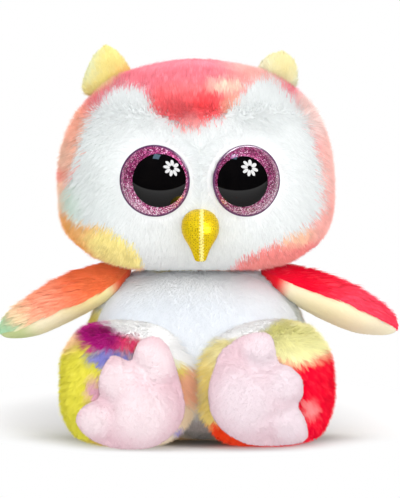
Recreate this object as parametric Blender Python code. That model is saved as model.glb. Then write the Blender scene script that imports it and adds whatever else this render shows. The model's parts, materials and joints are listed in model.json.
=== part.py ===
"""A seated plush owl, built as it is sewn: plush panels over stuffing, plastic eyes held by washers,
a beak in two halves, and wings that flap on their shoulder seams. Metres, +Z up, face towards -Y."""

import math

import bmesh
import bpy
from mathutils import Matrix, Vector

# Cloth and seams
COVER = 0.0020  # plush panel with its packed pile
WING_COVER = 0.0015
SEAM_GAP = 0.0003  # between pieces that are sewn or pressed together
FILL_GAP = 0.0009  # between a panel and the stuffing behind it
OVERRUN = 0.0500  # how far a cutter runs past what it cuts
LINE_SLACK_SHARE = 1e-9  # of a straight, so that a ray through its end meets it

# Body
TORSO_HALF_WIDTH = 0.0425
TORSO_FRONT = 0.0350
TORSO_BACK = 0.0370
TORSO_MIDDLE_Y = 0.0030
TORSO_MIDDLE_Z = 0.0300
SEAT_TRIM = 0.0005  # the seat is pressed flat by this much
NECK_TRIM = 0.0010
SIDE_SEAM_Y = -0.0080
BASE_SEAM_Z = 0.0060
POUCH_TOP_Z = 0.0140
NECK_Z = 0.0660

# Head
HEAD_HALF_WIDTH = 0.0520
HEAD_FRONT = 0.0400
HEAD_BACK = 0.0420
HEAD_MIDDLE_Z = 0.0970
HEAD_RISE = 0.0480
EAR_SEAM_Y = 0.0060

# Legs and feet
LEG_HALF_WIDTH = 0.0250
LEG_SPREAD = 0.0262
LEG_FRONT = 0.0200
LEG_BACK = 0.0180
LEG_MIDDLE_Y = -0.0240
LEG_MIDDLE_Z = 0.0240
LEG_RISE = 0.0242
FOOT_SPREAD_LEFT = 0.0202
FOOT_SPREAD_RIGHT = 0.0208
FOOT_HEIGHT_LEFT = 0.0178
FOOT_HEIGHT_RIGHT = 0.0196
FOOT_SOLE_Y = -0.0465
FOOT_SOLE_DEPTH = 0.0075
FOOT_UPPER_DEPTH = 0.0065
HEEL_RADIUS = 0.0152
FOOT_LEAN = math.radians(6)

# Wings
WING_LENGTH_LEFT = 0.0480
WING_LENGTH_RIGHT = 0.0460
WING_HALF_CHORD = 0.0145
WING_TOP_DEPTH = 0.0080
WING_UNDER_DEPTH = 0.0052
WING_NOSE = 0.0050  # from the hinge line to the sewn edge
HINGE_STANDOFF = 0.0027  # from the body's side to the hinge line
WING_SWEEP_Y = -0.0020
SHOULDER_LIFT_LEFT = math.radians(44)
SHOULDER_LIFT_RIGHT = math.radians(41)
WING_DROP_LEFT = math.radians(29)
WING_DROP_RIGHT = math.radians(26)
WING_ROLL_RIGHT = math.radians(14)  # its front edge is lifted

# Ears
EAR_HALF_WIDTH = 0.0114
EAR_HEIGHT_LEFT = 0.0190
EAR_HEIGHT_RIGHT = 0.0158
EAR_DEPTH = 0.0040
EAR_SPREAD_LEFT = 0.0330
EAR_SPREAD_RIGHT = 0.0302
EAR_ROOT_SINK = 0.0055
EAR_TILT_LEFT = math.radians(14)
EAR_TILT_RIGHT = math.radians(5)

# Eyes
EYE_RADIUS = 0.0133
EYE_SPREAD = 0.0172
EYE_RISE = 0.0040  # over the head's middle
EYE_SINK = 0.0021
EYE_TOE_OUT = math.radians(9)
EYE_DOME = 0.0076
EYE_RIM = 0.0014
EYE_FLOOR = 0.0016
PUPIL_RADIUS = 0.0100
PUPIL_PROUD = 0.0003
SHANK_RADIUS = 0.0025
SHANK_LENGTH = 0.0110
WASHER_RADIUS = 0.0085
WASHER_THICKNESS = 0.0015

# Beak
BEAK_HALF_WIDTH = 0.0072
BEAK_HEIGHT = 0.0200
BEAK_REACH = 0.0110
BEAK_DROP = 0.0060  # from the head's middle to the beak's top
BEAK_WALL = 0.0012

# Facets
FORM_SEGMENTS = 30
FORM_RINGS = 16
LIMB_SEGMENTS = 24
LIMB_RINGS = 11
TURN_STEPS = 24
PILLOW_RINGS = 4
PILLOW_SEGMENTS = 28
FOOT_SEGMENTS = 40
BEAK_SEGMENTS = 16

# Fullness is the exponent of a form: 2 is an ellipsoid, more is boxier.
TORSO_FULLNESS = {"front": 2.3, "back": 2.2, "rise": 2.7, "drop": 3.2}
HEAD_FULLNESS = {"front": 2.5, "back": 2.2, "rise": 2.3, "drop": 3.0}
LEG_FULLNESS = {"front": 2.6, "back": 2.4, "rise": 2.5, "drop": 2.9}

# How a cushion domes: exponents of its rings' spread, of their rise at its tip and at its root, and of
# how fast its outline turns round towards its middle.
PLUMP = {"spread": 0.8, "rise": 0.9, "root_rise": 0.9, "calm": 1.5}
THIN_ROOT = {"spread": 0.9, "rise": 0.9, "root_rise": 1.8, "calm": 1.5}

# The white mask's outline on the right half, from the notch down to the chin: shares of the head's
# half width, and of its rise above or its drop below the middle.
MASK_SHARES = [
    (0.00, 0.44),
    (0.13, 0.53),
    (0.31, 0.66),
    (0.43, 0.77),
    (0.57, 0.79),
    (0.73, 0.63),
    (0.85, 0.36),
    (0.905, 0.05),
    (0.895, -0.30),
    (0.79, -0.62),
    (0.62, -0.84),
    (0.54, -1.15),
]

# A foot's outline: the way in degrees from straight up towards the outer side, then how far the edge
# lies from the middle, as a share of the heel's radius. It runs over three blunt toes.
LEFT_FOOT_SHARES = [
    (-9, 1.70),
    (5, 1.52),
    (16, 1.12),
    (32, 1.42),
    (50, 1.34),
    (66, 1.22),
    (82, 1.12),
    (94, 1.54),
    (105, 1.74),
    (122, 1.60),
    (142, 1.36),
    (163, 1.18),
    (190, 1.10),
    (213, 1.06),
    (238, 1.05),
    (261, 1.04),
    (282, 1.01),
    (304, 1.07),
    (322, 1.26),
    (338, 1.56),
]
RIGHT_FOOT_SHARES = [
    (-11, 1.56),
    (5, 1.66),
    (17, 1.62),
    (34, 1.14),
    (50, 1.24),
    (67, 1.33),
    (84, 1.27),
    (98, 1.15),
    (112, 1.42),
    (125, 1.68),
    (139, 1.50),
    (161, 1.22),
    (185, 1.12),
    (205, 1.07),
    (225, 1.07),
    (247, 1.08),
    (267, 1.09),
    (288, 1.13),
    (310, 1.22),
    (327, 1.41),
]

# The wing's half chord along its length, and each ear's half width up its height.
WING_CHORD_SHARES = [0.0, 0.66, 0.80, 0.92, 1.0, 1.0, 0.96, 0.86, 0.66, 0.0]
LEFT_EAR_SHARES = [0.0, 0.88, 1.0, 0.97, 0.88, 0.76, 0.62, 0.47, 0.30, 0.0]
RIGHT_EAR_SHARES = [0.0, 0.88, 1.0, 1.0, 0.95, 0.89, 0.81, 0.71, 0.56, 0.0]

# The beak from top to tip: half width, then front and back reach from the face.
BEAK_WIDTH_SHARES = [0.30, 0.78, 0.97, 1.0, 0.90, 0.70, 0.47, 0.30, 0.20, 0.10]
BEAK_FRONT_SHARES = [0.20, 0.55, 0.82, 0.97, 1.0, 0.95, 0.86, 0.76, 0.68, 0.60]
BEAK_BACK_SHARES = [-0.30, -0.35, -0.35, -0.30, -0.20, -0.05, 0.12, 0.28, 0.40, 0.50]
BEAK_CORE_SHARE = 0.80

SIDES = {"left": -1, "right": 1}
FEET = {
    "left": (LEFT_FOOT_SHARES, FOOT_SPREAD_LEFT, FOOT_HEIGHT_LEFT),
    "right": (RIGHT_FOOT_SHARES, FOOT_SPREAD_RIGHT, FOOT_HEIGHT_RIGHT),
}
EARS = {
    "left": (LEFT_EAR_SHARES, EAR_SPREAD_LEFT, EAR_HEIGHT_LEFT, EAR_TILT_LEFT),
    "right": (RIGHT_EAR_SHARES, EAR_SPREAD_RIGHT, EAR_HEIGHT_RIGHT, EAR_TILT_RIGHT),
}
# Length, how high on the shoulder, how far it hangs, and its roll about its own length.
WINGS = {
    "left": (WING_LENGTH_LEFT, SHOULDER_LIFT_LEFT, WING_DROP_LEFT, 0),
    "right": (WING_LENGTH_RIGHT, SHOULDER_LIFT_RIGHT, WING_DROP_RIGHT, WING_ROLL_RIGHT),
}

# Colours as seen, with roughness and metallic.
FINISHES = {
    "white_plush": ((0.91, 0.93, 0.94), 0.95, 0.0),
    "coral_plush": ((0.98, 0.50, 0.52), 0.95, 0.0),
    "belly_plush": ((0.92, 0.94, 0.97), 0.95, 0.0),
    "yellow_plush": ((0.93, 0.88, 0.58), 0.95, 0.0),
    "olive_plush": ((0.88, 0.82, 0.33), 0.95, 0.0),
    "red_plush": ((0.97, 0.12, 0.20), 0.95, 0.0),
    "orange_plush": ((0.96, 0.50, 0.34), 0.95, 0.0),
    "pink_velour": ((0.98, 0.89, 0.92), 0.9, 0.0),
    "cream_velboa": ((0.89, 0.78, 0.52), 0.9, 0.0),
    "gold_fabric": ((0.88, 0.78, 0.28), 0.4, 0.7),
    "glitter": ((0.72, 0.26, 0.52), 0.3, 0.4),
    "black_plastic": ((0.03, 0.03, 0.035), 0.05, 0.0),
    "white_plastic": ((0.90, 0.90, 0.88), 0.4, 0.0),
    "fibre": ((0.96, 0.96, 0.95), 1.0, 0.0),
    "pellet_cloth": ((0.80, 0.80, 0.78), 0.9, 0.0),
}


class Form:
    """A stuffed shape about a centre, with its own reach and fullness each way."""

    def __init__(self, centre, half_width, front, back, rise, drop, fullness):
        self.centre = Vector(centre)
        self.half_width = half_width
        self.front = front
        self.back = back
        self.rise = rise
        self.drop = drop
        self.fullness = fullness

    def inset(self, amount):
        """The parallel form that lies this far inside, or outside if the amount is negative."""
        return Form(
            self.centre,
            self.half_width - amount,
            self.front - amount,
            self.back - amount,
            self.rise - amount,
            self.drop - amount,
            self.fullness,
        )

    def ways(self, offset):
        """Depth, height and the two exponents on the side where the offset lies."""
        depth, plan = (self.front, "front") if offset.y < 0 else (self.back, "back")
        height, tall = (self.rise, "rise") if offset.z > 0 else (self.drop, "drop")
        return depth, height, self.fullness[plan], self.fullness[tall]

    def surface(self, direction):
        """The surface point in a direction from the centre."""
        depth, height, plan, tall = self.ways(direction)
        across = (abs(direction.x / self.half_width) ** plan + abs(direction.y / depth) ** plan) ** (tall / plan)
        return self.centre + direction / (across + abs(direction.z / height) ** tall) ** (1 / tall)

    def front_point(self, x, z):
        """The point of the front surface at this x and z."""
        offset = Vector((x, -self.front, z)) - self.centre
        depth, height, plan, tall = self.ways(Vector((offset.x, -1, offset.z)))
        level = (1 - abs(offset.z / height) ** tall) ** (plan / tall)
        y = self.centre.y - depth * (level - abs(offset.x / self.half_width) ** plan) ** (1 / plan)
        return Vector((x, y, z))


def colour_value(seen):
    """The linear value of a colour channel as it is seen."""
    return seen / 12.92 if seen <= 0.04045 else ((seen + 0.055) / 1.055) ** 2.4


def finish(name):
    """The material of this finish, made once."""
    material = bpy.data.materials.get(name)
    if material:
        return material
    seen, roughness, metallic = FINISHES[name]
    material = bpy.data.materials.new(name)
    material.use_nodes = True
    shader = material.node_tree.nodes["Principled BSDF"]
    shader.inputs["Base Color"].default_value = [colour_value(value) for value in seen] + [1]
    shader.inputs["Roughness"].default_value = roughness
    shader.inputs["Metallic"].default_value = metallic
    return material


def add_object(name, bm, finish_name=None):
    """An object from a closed bmesh; one without a finish is a cutter or a guide."""
    bmesh.ops.recalc_face_normals(bm, faces=bm.faces)
    mesh = bpy.data.meshes.new(name)
    bm.to_mesh(mesh)
    bm.free()
    return place_mesh(name, mesh, finish_name)


def place_mesh(name, mesh, finish_name=None):
    made = bpy.data.objects.new(name, mesh)
    bpy.context.scene.collection.objects.link(made)
    if finish_name:
        mesh.shade_smooth()
        mesh.set_sharp_from_angle(angle=math.radians(45))
        mesh.materials.append(finish(finish_name))
    else:
        made.hide_render = True
        made.display_type = "WIRE"
    return made


def combine(piece, operation, other):
    """One exact Boolean of a piece with another."""
    modifier = piece.modifiers.new(operation.lower() + "_" + other.name, "BOOLEAN")
    modifier.operation = operation
    modifier.solver = "EXACT"
    modifier.object = other
    return piece


def cut(piece, *cutters):
    for cutter in cutters:
        combine(piece, "DIFFERENCE", cutter)
    return piece


def keep(piece, *regions):
    for region in regions:
        combine(piece, "INTERSECT", region)
    return piece


def settled(name, piece):
    """A guide that holds a piece's shape with its modifiers applied."""
    bpy.context.view_layer.update()
    graph = bpy.context.evaluated_depsgraph_get()
    return place_mesh(name, bpy.data.meshes.new_from_object(piece.evaluated_get(graph)))


def copy_of(guide, name, finish_name):
    """A visible piece that starts from a guide's shape."""
    return place_mesh(name, guide.data.copy(), finish_name)


def form_piece(name, form, segments, rings, finish_name=None):
    """A round mesh whose points all lie on the form."""
    bm = bmesh.new()
    bmesh.ops.create_uvsphere(bm, u_segments=segments, v_segments=rings, radius=1)
    for vert in bm.verts:
        vert.co = form.surface(vert.co.normalized())
    return add_object(name, bm, finish_name)


def block(name, low, high):
    """A box cutter; None on a side means well past the object."""
    low = [-OVERRUN * 4 if value is None else value for value in low]
    high = [OVERRUN * 4 if value is None else value for value in high]
    bm = bmesh.new()
    bmesh.ops.create_cube(bm, size=1)
    size = Vector(high) - Vector(low)
    middle = (Vector(high) + Vector(low)) / 2
    bmesh.ops.scale(bm, verts=bm.verts, vec=size)
    bmesh.ops.translate(bm, verts=bm.verts, vec=middle)
    return add_object(name, bm)


def rod(name, frame, radius, low, high):
    """A round cutter along the frame's Z, from low to high."""
    bm = bmesh.new()
    bmesh.ops.create_cone(
        bm, cap_ends=True, segments=TURN_STEPS, radius1=radius, radius2=radius, depth=high - low
    )
    bmesh.ops.translate(bm, verts=bm.verts, vec=Vector((0, 0, (low + high) / 2)))
    bmesh.ops.transform(bm, verts=bm.verts, matrix=frame)
    return add_object(name, bm)


def turned(name, frame, profile, finish_name):
    """A profile of (radius, height) points, spun once round the frame's Z."""
    bm = bmesh.new()
    verts = [bm.verts.new((radius, 0, height)) for radius, height in profile]
    closed = all(radius > 0 for radius, height in profile)
    pairs = list(zip(verts, verts[1:]))
    if closed:
        pairs.append((verts[-1], verts[0]))
    edges = [bm.edges.new(pair) for pair in pairs]
    bmesh.ops.spin(
        bm, geom=verts + edges, axis=(0, 0, 1), cent=(0, 0, 0), steps=TURN_STEPS, angle=math.tau, use_merge=True
    )
    bmesh.ops.remove_doubles(bm, verts=bm.verts, dist=SEAM_GAP / 100)
    bmesh.ops.transform(bm, verts=bm.verts, matrix=frame)
    return add_object(name, bm, finish_name)


def smooth_line(points, steps):
    """Points along a closed Catmull-Rom curve through the given ones."""
    line = []
    count = len(points)
    for index in range(count):
        before, start, end, after = (Vector(points[(index + shift) % count]) for shift in (-1, 0, 1, 2))
        for step in range(steps):
            t = step / steps
            line.append(
                (
                    start * 2
                    + (end - before) * t
                    + (before * 2 - start * 5 + end * 4 - after) * t**2
                    + (start * 3 - before - end * 3 + after) * t**3
                )
                / 2
            )
    return line


def grown(outline, amount):
    """A closed outline moved outwards by the amount; it runs anticlockwise."""
    moved = []
    for index, point in enumerate(outline):
        along = (outline[(index + 1) % len(outline)] - outline[index - 1]).normalized()
        moved.append(point + Vector((along.y, -along.x)) * amount)
    return moved


def prism(name, outline, near, far):
    """An outline in X and Z, run along Y from near to far."""
    bm = bmesh.new()
    face = bm.faces.new([bm.verts.new((point.x, near, point.y)) for point in outline])
    grown_face = bmesh.ops.extrude_face_region(bm, geom=[face])
    moved = [item for item in grown_face["geom"] if isinstance(item, bmesh.types.BMVert)]
    bmesh.ops.translate(bm, verts=moved, vec=Vector((0, far - near, 0)))
    return add_object(name, bm)


def pillow(name, frame, outline, top, under, finish_name=None, segments=PILLOW_SEGMENTS, puff=PLUMP, calm=0):
    """A cushion in the frame's XY plane: domed by top above its edge and by under below it.
    outline gives the reach at an angle, and its middle is round where calm gives a radius.
    A top or under of zero leaves that side flat. The tip lies along X, the root against it."""
    bm = bmesh.new()

    def ring(lift, height):
        share = math.cos(lift) ** puff["spread"]
        verts = []
        for index in range(segments):
            angle = math.tau * index / segments
            reach = outline(angle)
            if calm:
                reach = calm + (reach - calm) * share ** puff["calm"]
            rise = puff["rise"] + (puff["root_rise"] - puff["rise"]) * (1 - math.cos(angle)) / 2
            up = height * math.sin(lift) ** rise
            verts.append(bm.verts.new((reach * share * math.cos(angle), reach * share * math.sin(angle), up)))
        return verts

    def dome(height):
        rings = [ring(math.pi / 2 * index / PILLOW_RINGS, height) for index in range(1, PILLOW_RINGS)]
        return rings, bm.verts.new((0, 0, height))

    def skin(rings, tip):
        for lower, upper in zip(rings, rings[1:]):
            for index in range(segments):
                following = (index + 1) % segments
                bm.faces.new((lower[index], lower[following], upper[following], upper[index]))
        for index in range(segments):
            following = (index + 1) % segments
            bm.faces.new((rings[-1][index], rings[-1][following], tip))

    edge = ring(0, 0)
    for height in (top, -under):
        if height:
            rings, tip = dome(height)
            skin([edge] + rings, tip)
        else:
            skin([edge], bm.verts.new((0, 0, 0)))
    bmesh.ops.transform(bm, verts=bm.verts, matrix=frame)
    return add_object(name, bm, finish_name)


def reach_of(line):
    """How far a closed line round the origin lies from it, at an angle."""
    ends = line[1:] + line[:1]

    def reach(angle):
        way = Vector((math.cos(angle), math.sin(angle)))
        for start, end in zip(line, ends):
            side = end - start
            slope = way.x * side.y - way.y * side.x
            if slope == 0:
                continue
            distance = (start.x * side.y - start.y * side.x) / slope
            share = (start.x * way.y - start.y * way.x) / slope
            if distance > 0 and -LINE_SLACK_SHARE <= share <= 1 + LINE_SLACK_SHARE:
                return distance
        return line[0].length

    return reach


def leaf_outline(shares, half_length, half_width):
    """The reach at an angle of a leaf whose half widths are given along X, tail to tip."""
    count = len(shares) - 1
    line = []
    for index, share in enumerate(shares):
        line.append(Vector(((2 * index / count - 1) * half_length, share * half_width)))
    return reach_of(line + [Vector((point.x, -point.y)) for point in reversed(line[1:-1])])


def foot_outline(shares, side):
    """The reach of a foot at an angle, seen from the front."""
    points = []
    for degrees, share in shares:
        angle = math.pi / 2 - side * math.radians(degrees)
        points.append(Vector((math.cos(angle), math.sin(angle))) * HEEL_RADIUS * share)
    return reach_of(smooth_line(points, 3))


def shrunk(outline, amount):
    return lambda angle: outline(angle) - amount


def pivot(name, place, turn=0):
    """An empty on a joint's axis."""
    made = bpy.data.objects.new(name, None)
    made.location = place
    made.rotation_euler = (0, turn, 0)
    bpy.context.scene.collection.objects.link(made)
    bpy.context.view_layer.update()
    return made


def hang_on(empty, pieces):
    """Puts each piece's origin on the empty and parents it there, with its shape left in place."""
    for piece in pieces:
        piece.data.transform(empty.matrix_world.inverted())
        piece.parent = empty


def torso_form():
    return Form(
        (0, TORSO_MIDDLE_Y, TORSO_MIDDLE_Z),
        TORSO_HALF_WIDTH,
        TORSO_FRONT,
        TORSO_BACK,
        NECK_Z + NECK_TRIM - TORSO_MIDDLE_Z,
        TORSO_MIDDLE_Z + SEAT_TRIM,
        TORSO_FULLNESS,
    )


def head_form():
    return Form(
        (0, 0, HEAD_MIDDLE_Z),
        HEAD_HALF_WIDTH,
        HEAD_FRONT,
        HEAD_BACK,
        HEAD_RISE,
        HEAD_MIDDLE_Z - NECK_Z + NECK_TRIM,
        HEAD_FULLNESS,
    )


def leg_form(side):
    return Form(
        (side * LEG_SPREAD, LEG_MIDDLE_Y, LEG_MIDDLE_Z),
        LEG_HALF_WIDTH,
        LEG_FRONT,
        LEG_BACK,
        LEG_RISE,
        LEG_MIDDLE_Z + SEAT_TRIM,
        LEG_FULLNESS,
    )


def make_torso():
    """Four plush panels round the stuffing and the pellet pouch."""
    form = torso_form()
    outer = form_piece("torso_outer", form, FORM_SEGMENTS, FORM_RINGS)
    inner = form_piece("torso_inner", form.inset(COVER), FORM_SEGMENTS, FORM_RINGS)
    wall = settled("torso_wall", cut(outer, inner))
    half = SEAM_GAP / 2
    top = NECK_Z - half
    base = BASE_SEAM_Z
    front_room = block("belly_room", (None, None, base + half), (None, SIDE_SEAM_Y - half, top))
    keep(copy_of(wall, "belly_panel", "belly_plush"), front_room)
    for name, side in SIDES.items():
        near, far = sorted((side * half, side * OVERRUN * 2))
        room = block("back_room_" + name, (near, SIDE_SEAM_Y + half, base + half), (far, None, top))
        tint = "olive_plush" if side < 0 else "coral_plush"
        keep(copy_of(wall, "back_panel_" + name, tint), room)
    base_room = block("base_room", (None, None, 0), (None, None, base - half))
    keep(copy_of(wall, "base_panel", "olive_plush"), base_room)
    fill = form.inset(COVER + FILL_GAP)
    stuffing = form_piece("body_stuffing", fill, LIMB_SEGMENTS, LIMB_RINGS, "fibre")
    keep(stuffing, block("stuffing_room", (None, None, POUCH_TOP_Z + half), (None, None, top)))
    pouch = form_piece("bean_pouch", fill, LIMB_SEGMENTS, LIMB_RINGS, "pellet_cloth")
    keep(pouch, block("pouch_room", (None, None, 0), (None, None, POUCH_TOP_Z - half)))


def make_leg(name, side, torso_clear):
    """A leg bag open towards the body, its stuffing, and the foot on its front."""
    form = leg_form(side)
    tint = "olive_plush" if side < 0 else "red_plush"
    cover = form_piece("leg_cover_" + name, form, LIMB_SEGMENTS, LIMB_RINGS, tint)
    hollow = form_piece("leg_hollow_" + name, form.inset(COVER), LIMB_SEGMENTS, LIMB_RINGS)
    floor = block("leg_floor_" + name, (None, None, 0), (None, None, None))
    keep(cut(cover, hollow, torso_clear), floor)
    fill = form.inset(COVER + FILL_GAP)
    stuffing = form_piece("leg_stuffing_" + name, fill, LIMB_SEGMENTS, LIMB_RINGS, "fibre")
    cut(stuffing, torso_clear)
    make_foot(name, side, form)


def make_foot(name, side, leg):
    """Two velour panels, sole and upper, seamed round the toes."""
    shares, spread, height = FEET[name]
    outline = foot_outline(shares, side)
    place = Matrix.Translation((side * spread, FOOT_SOLE_Y, height))
    turn = Matrix.Rotation(math.pi / 2 - FOOT_LEAN, 4, "X")
    shift = Matrix.Translation((0, 0, SEAM_GAP / 2))

    def layer(part, frame, over, below):
        shape = {"segments": FOOT_SEGMENTS, "calm": HEEL_RADIUS}
        return pillow(f"foot_{part}_{name}", frame, outline, over, below, "pink_velour", **shape)

    layer("sole", place @ turn @ shift, FOOT_SOLE_DEPTH, 0)
    upper = layer("upper", place @ turn @ shift.inverted(), 0, FOOT_UPPER_DEPTH)
    leg_clear = form_piece("leg_clear_" + name, leg.inset(-SEAM_GAP), LIMB_SEGMENTS, LIMB_RINGS)
    cut(upper, leg_clear)


def eye_frame(head, side):
    """The eye's frame: origin on its seat, Z out of the face."""
    seat = head.front_point(side * EYE_SPREAD, head.centre.z + EYE_RISE)
    turn = Matrix.Rotation(side * EYE_TOE_OUT, 4, "Z") @ Matrix.Rotation(math.pi / 2, 4, "X")
    return Matrix.Translation(seat) @ turn @ Matrix.Translation((0, 0, -EYE_SINK))


def dome_height(radius, proud=0):
    """Height of the eye's round front over its seat, at a radius."""
    ball = (EYE_RADIUS**2 + EYE_DOME**2) / (2 * EYE_DOME)
    return EYE_DOME + proud - ball + math.sqrt(ball**2 - radius**2)


def make_eye(name, frame):
    """A glitter iris, a pupil whose shank goes through it, and the washer that locks the shank."""
    bore = SHANK_RADIUS + SEAM_GAP
    well = PUPIL_RADIUS + SEAM_GAP
    iris = [(bore, 0), (EYE_RADIUS - EYE_RIM / 2, 0), (EYE_RADIUS, EYE_RIM / 2), (EYE_RADIUS, EYE_RIM)]
    for step in range(1, 4):
        radius = EYE_RADIUS + (well - EYE_RADIUS) * step / 4
        iris.append((radius, max(EYE_RIM, dome_height(radius))))
    iris += [(well, dome_height(well)), (well, EYE_FLOOR), (bore, EYE_FLOOR)]
    turned("eye_iris_" + name, frame, iris, "glitter")
    under = EYE_FLOOR + SEAM_GAP
    pupil = [(0, -SHANK_LENGTH), (SHANK_RADIUS, -SHANK_LENGTH), (SHANK_RADIUS, under), (PUPIL_RADIUS, under)]
    for step in range(5):
        radius = PUPIL_RADIUS * math.cos(math.pi / 2 * step / 5)
        pupil.append((radius, dome_height(radius, PUPIL_PROUD)))
    pupil.append((0, dome_height(0, PUPIL_PROUD)))
    turned("eye_pupil_" + name, frame, pupil, "black_plastic")
    face = -2 * SEAM_GAP - COVER
    rim = face - WASHER_THICKNESS
    washer = [(bore, face), (bore, rim - WASHER_THICKNESS / 2), (WASHER_RADIUS, rim), (WASHER_RADIUS, face)]
    turned("eye_washer_" + name, frame, washer, "white_plastic")


def mask_outline(head):
    """The white mask's closed outline in X and Z, anticlockwise."""
    right = []
    for across, up in MASK_SHARES:
        height = head.rise if up > 0 else head.drop
        right.append(Vector((across * head.half_width, head.centre.z + up * height)))
    left = [Vector((-point.x, point.y)) for point in right[1:]]
    return smooth_line(list(reversed(right)) + left, 3)


def make_head():
    """The mask and crown in front of the ear seam, two back panels, ears, eyes, beak and stuffing."""
    head = head_form()
    half = SEAM_GAP / 2
    floor = NECK_Z + half
    outer = form_piece("head_outer", head, FORM_SEGMENTS, FORM_RINGS)
    inner = form_piece("head_inner", head.inset(COVER), FORM_SEGMENTS, FORM_RINGS)
    stuffing = form_piece("head_stuffing", head.inset(COVER + FILL_GAP), LIMB_SEGMENTS, LIMB_RINGS, "fibre")
    pieces = [stuffing]
    bores = []
    for name, side in SIDES.items():
        frame = eye_frame(head, side)
        make_eye(name, frame)
        pieces += [bpy.data.objects[f"eye_{part}_{name}"] for part in ("iris", "pupil", "washer")]
        room = EYE_RADIUS + SEAM_GAP
        cut(outer, rod("eye_socket_" + name, frame, room, -SEAM_GAP, OVERRUN))
        cut(inner, rod("socket_back_" + name, frame, room + COVER, -SEAM_GAP - COVER, OVERRUN))
        bores.append(rod("shank_bore_" + name, frame, SHANK_RADIUS + SEAM_GAP, -COVER * 2, OVERRUN))
        lock = -SEAM_GAP - COVER
        bores.append(rod("washer_room_" + name, frame, WASHER_RADIUS + SEAM_GAP, -SHANK_LENGTH, lock))
        behind = -COVER - WASHER_THICKNESS * 2 - FILL_GAP
        cut(stuffing, rod("fill_socket_" + name, frame, room + COVER + FILL_GAP, behind, OVERRUN))
        shank_room = SHANK_RADIUS + FILL_GAP
        cut(stuffing, rod("fill_bore_" + name, frame, shank_room, -SHANK_LENGTH - FILL_GAP, OVERRUN))
    keep(stuffing, block("head_fill_room", (None, None, floor), (None, None, None)))
    wall = settled("head_wall", cut(outer, inner, *bores))

    outline = mask_outline(head)
    front_end = EAR_SEAM_Y - half
    mask = prism("mask_prism", outline, -OVERRUN * 2, 0)
    around = prism("mask_clear", grown(outline, SEAM_GAP), -OVERRUN * 2, SEAM_GAP)
    above = block("head_floor", (None, None, floor), (None, None, None))
    front = block("crown_room", (None, None, floor), (None, front_end, None))
    pieces.append(keep(copy_of(wall, "face_panel", "white_plush"), mask, above))
    pieces.append(cut(keep(copy_of(wall, "crown_panel", "coral_plush"), front), around))
    for name, side in SIDES.items():
        near, far = sorted((side * half, side * OVERRUN * 2))
        room = block("head_back_room_" + name, (near, EAR_SEAM_Y + half, floor), (far, None, None))
        pieces.append(keep(copy_of(wall, "head_back_" + name, "coral_plush"), room))
    head_clear = form_piece("head_clear", head.inset(-SEAM_GAP), FORM_SEGMENTS, FORM_RINGS)
    for name, side in SIDES.items():
        pieces += make_ear(name, side, head, head_clear)
    pieces += make_beak(head, head_clear)
    hang_on(pivot("neck_pivot", (0, 0, NECK_Z)), pieces)


def make_ear(name, side, head, head_clear):
    """Two plush panels of a blunt tuft, standing out of the ear-to-ear seam."""
    shares, spread, tall, lean = EARS[name]
    way = Vector((spread * side, 0, head.rise * math.sqrt(1 - (spread / head.half_width) ** 2)))
    root = head.surface(way.normalized())
    root.y = EAR_SEAM_Y
    tilt = Matrix.Rotation(side * lean, 4, "Y")
    # The leaf's length points up, and its face looks forward.
    stand = Matrix.Rotation(-math.pi / 2, 4, "Y") @ Matrix.Rotation(-math.pi / 2, 4, "X")
    lift = Matrix.Translation((0, 0, tall / 2 - EAR_ROOT_SINK))
    outline = leaf_outline(shares, tall / 2, EAR_HALF_WIDTH)
    place = Matrix.Translation(root) @ tilt @ lift @ stand
    made = []
    for part, flip in (("front", 1), ("back", -1)):
        gap = Matrix.Translation((0, 0, flip * SEAM_GAP / 2))
        depths = (EAR_DEPTH, 0) if flip > 0 else (0, EAR_DEPTH)
        ear = pillow(f"ear_{part}_{name}", place @ gap, outline, *depths, "yellow_plush")
        made.append(cut(ear, head_clear))
    return made


def beak_loft(name, place, core=0, finish_name=None):
    """Rings from the beak's top, at the place, to its tip; core draws them in, for a hollow or stuffing."""
    bm = bmesh.new()
    steps = len(BEAK_WIDTH_SHARES) - 1
    rings = []
    for index, across in enumerate(BEAK_WIDTH_SHARES):
        down = core + (BEAK_HEIGHT - core * 2) * index / steps
        front = BEAK_REACH * BEAK_FRONT_SHARES[index]
        back = BEAK_REACH * BEAK_BACK_SHARES[index]
        share = 1 if not core else BEAK_CORE_SHARE * (1 - core / BEAK_REACH)
        half_width = BEAK_HALF_WIDTH * across * share
        half_depth = (front - back) / 2 * share
        middle = place.y - (front + back) / 2
        ring = []
        for turn in range(BEAK_SEGMENTS):
            angle = math.tau * turn / BEAK_SEGMENTS
            x = half_width * math.cos(angle)
            y = middle - half_depth * math.sin(angle)
            ring.append(bm.verts.new((x, y, place.z - down)))
        rings.append(ring)
    for upper, lower in zip(rings, rings[1:]):
        for turn in range(BEAK_SEGMENTS):
            after = (turn + 1) % BEAK_SEGMENTS
            bm.faces.new((upper[turn], upper[after], lower[after], lower[turn]))
    bm.faces.new(rings[0])
    bm.faces.new(rings[-1])
    return add_object(name, bm, finish_name)


def make_beak(head, head_clear):
    """Two gold halves with a seam down the middle, sewn to the face, over their stuffing."""
    beak_top = head.centre.z - BEAK_DROP
    place = Vector((0, head.front_point(0, beak_top - BEAK_HEIGHT / 3).y, beak_top))
    hollow = beak_loft("beak_hollow", place, BEAK_WALL)
    stuffing = beak_loft("beak_stuffing", place, BEAK_WALL + SEAM_GAP, "fibre")
    made = [cut(stuffing, head_clear)]
    for name, side in SIDES.items():
        near, far = sorted((side * SEAM_GAP / 2, side * OVERRUN))
        room = block("beak_room_" + name, (near, None, None), (far, None, None))
        shell = beak_loft("beak_" + name, place, 0, "gold_fabric")
        made.append(keep(cut(shell, hollow, head_clear), room))
    return made


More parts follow.
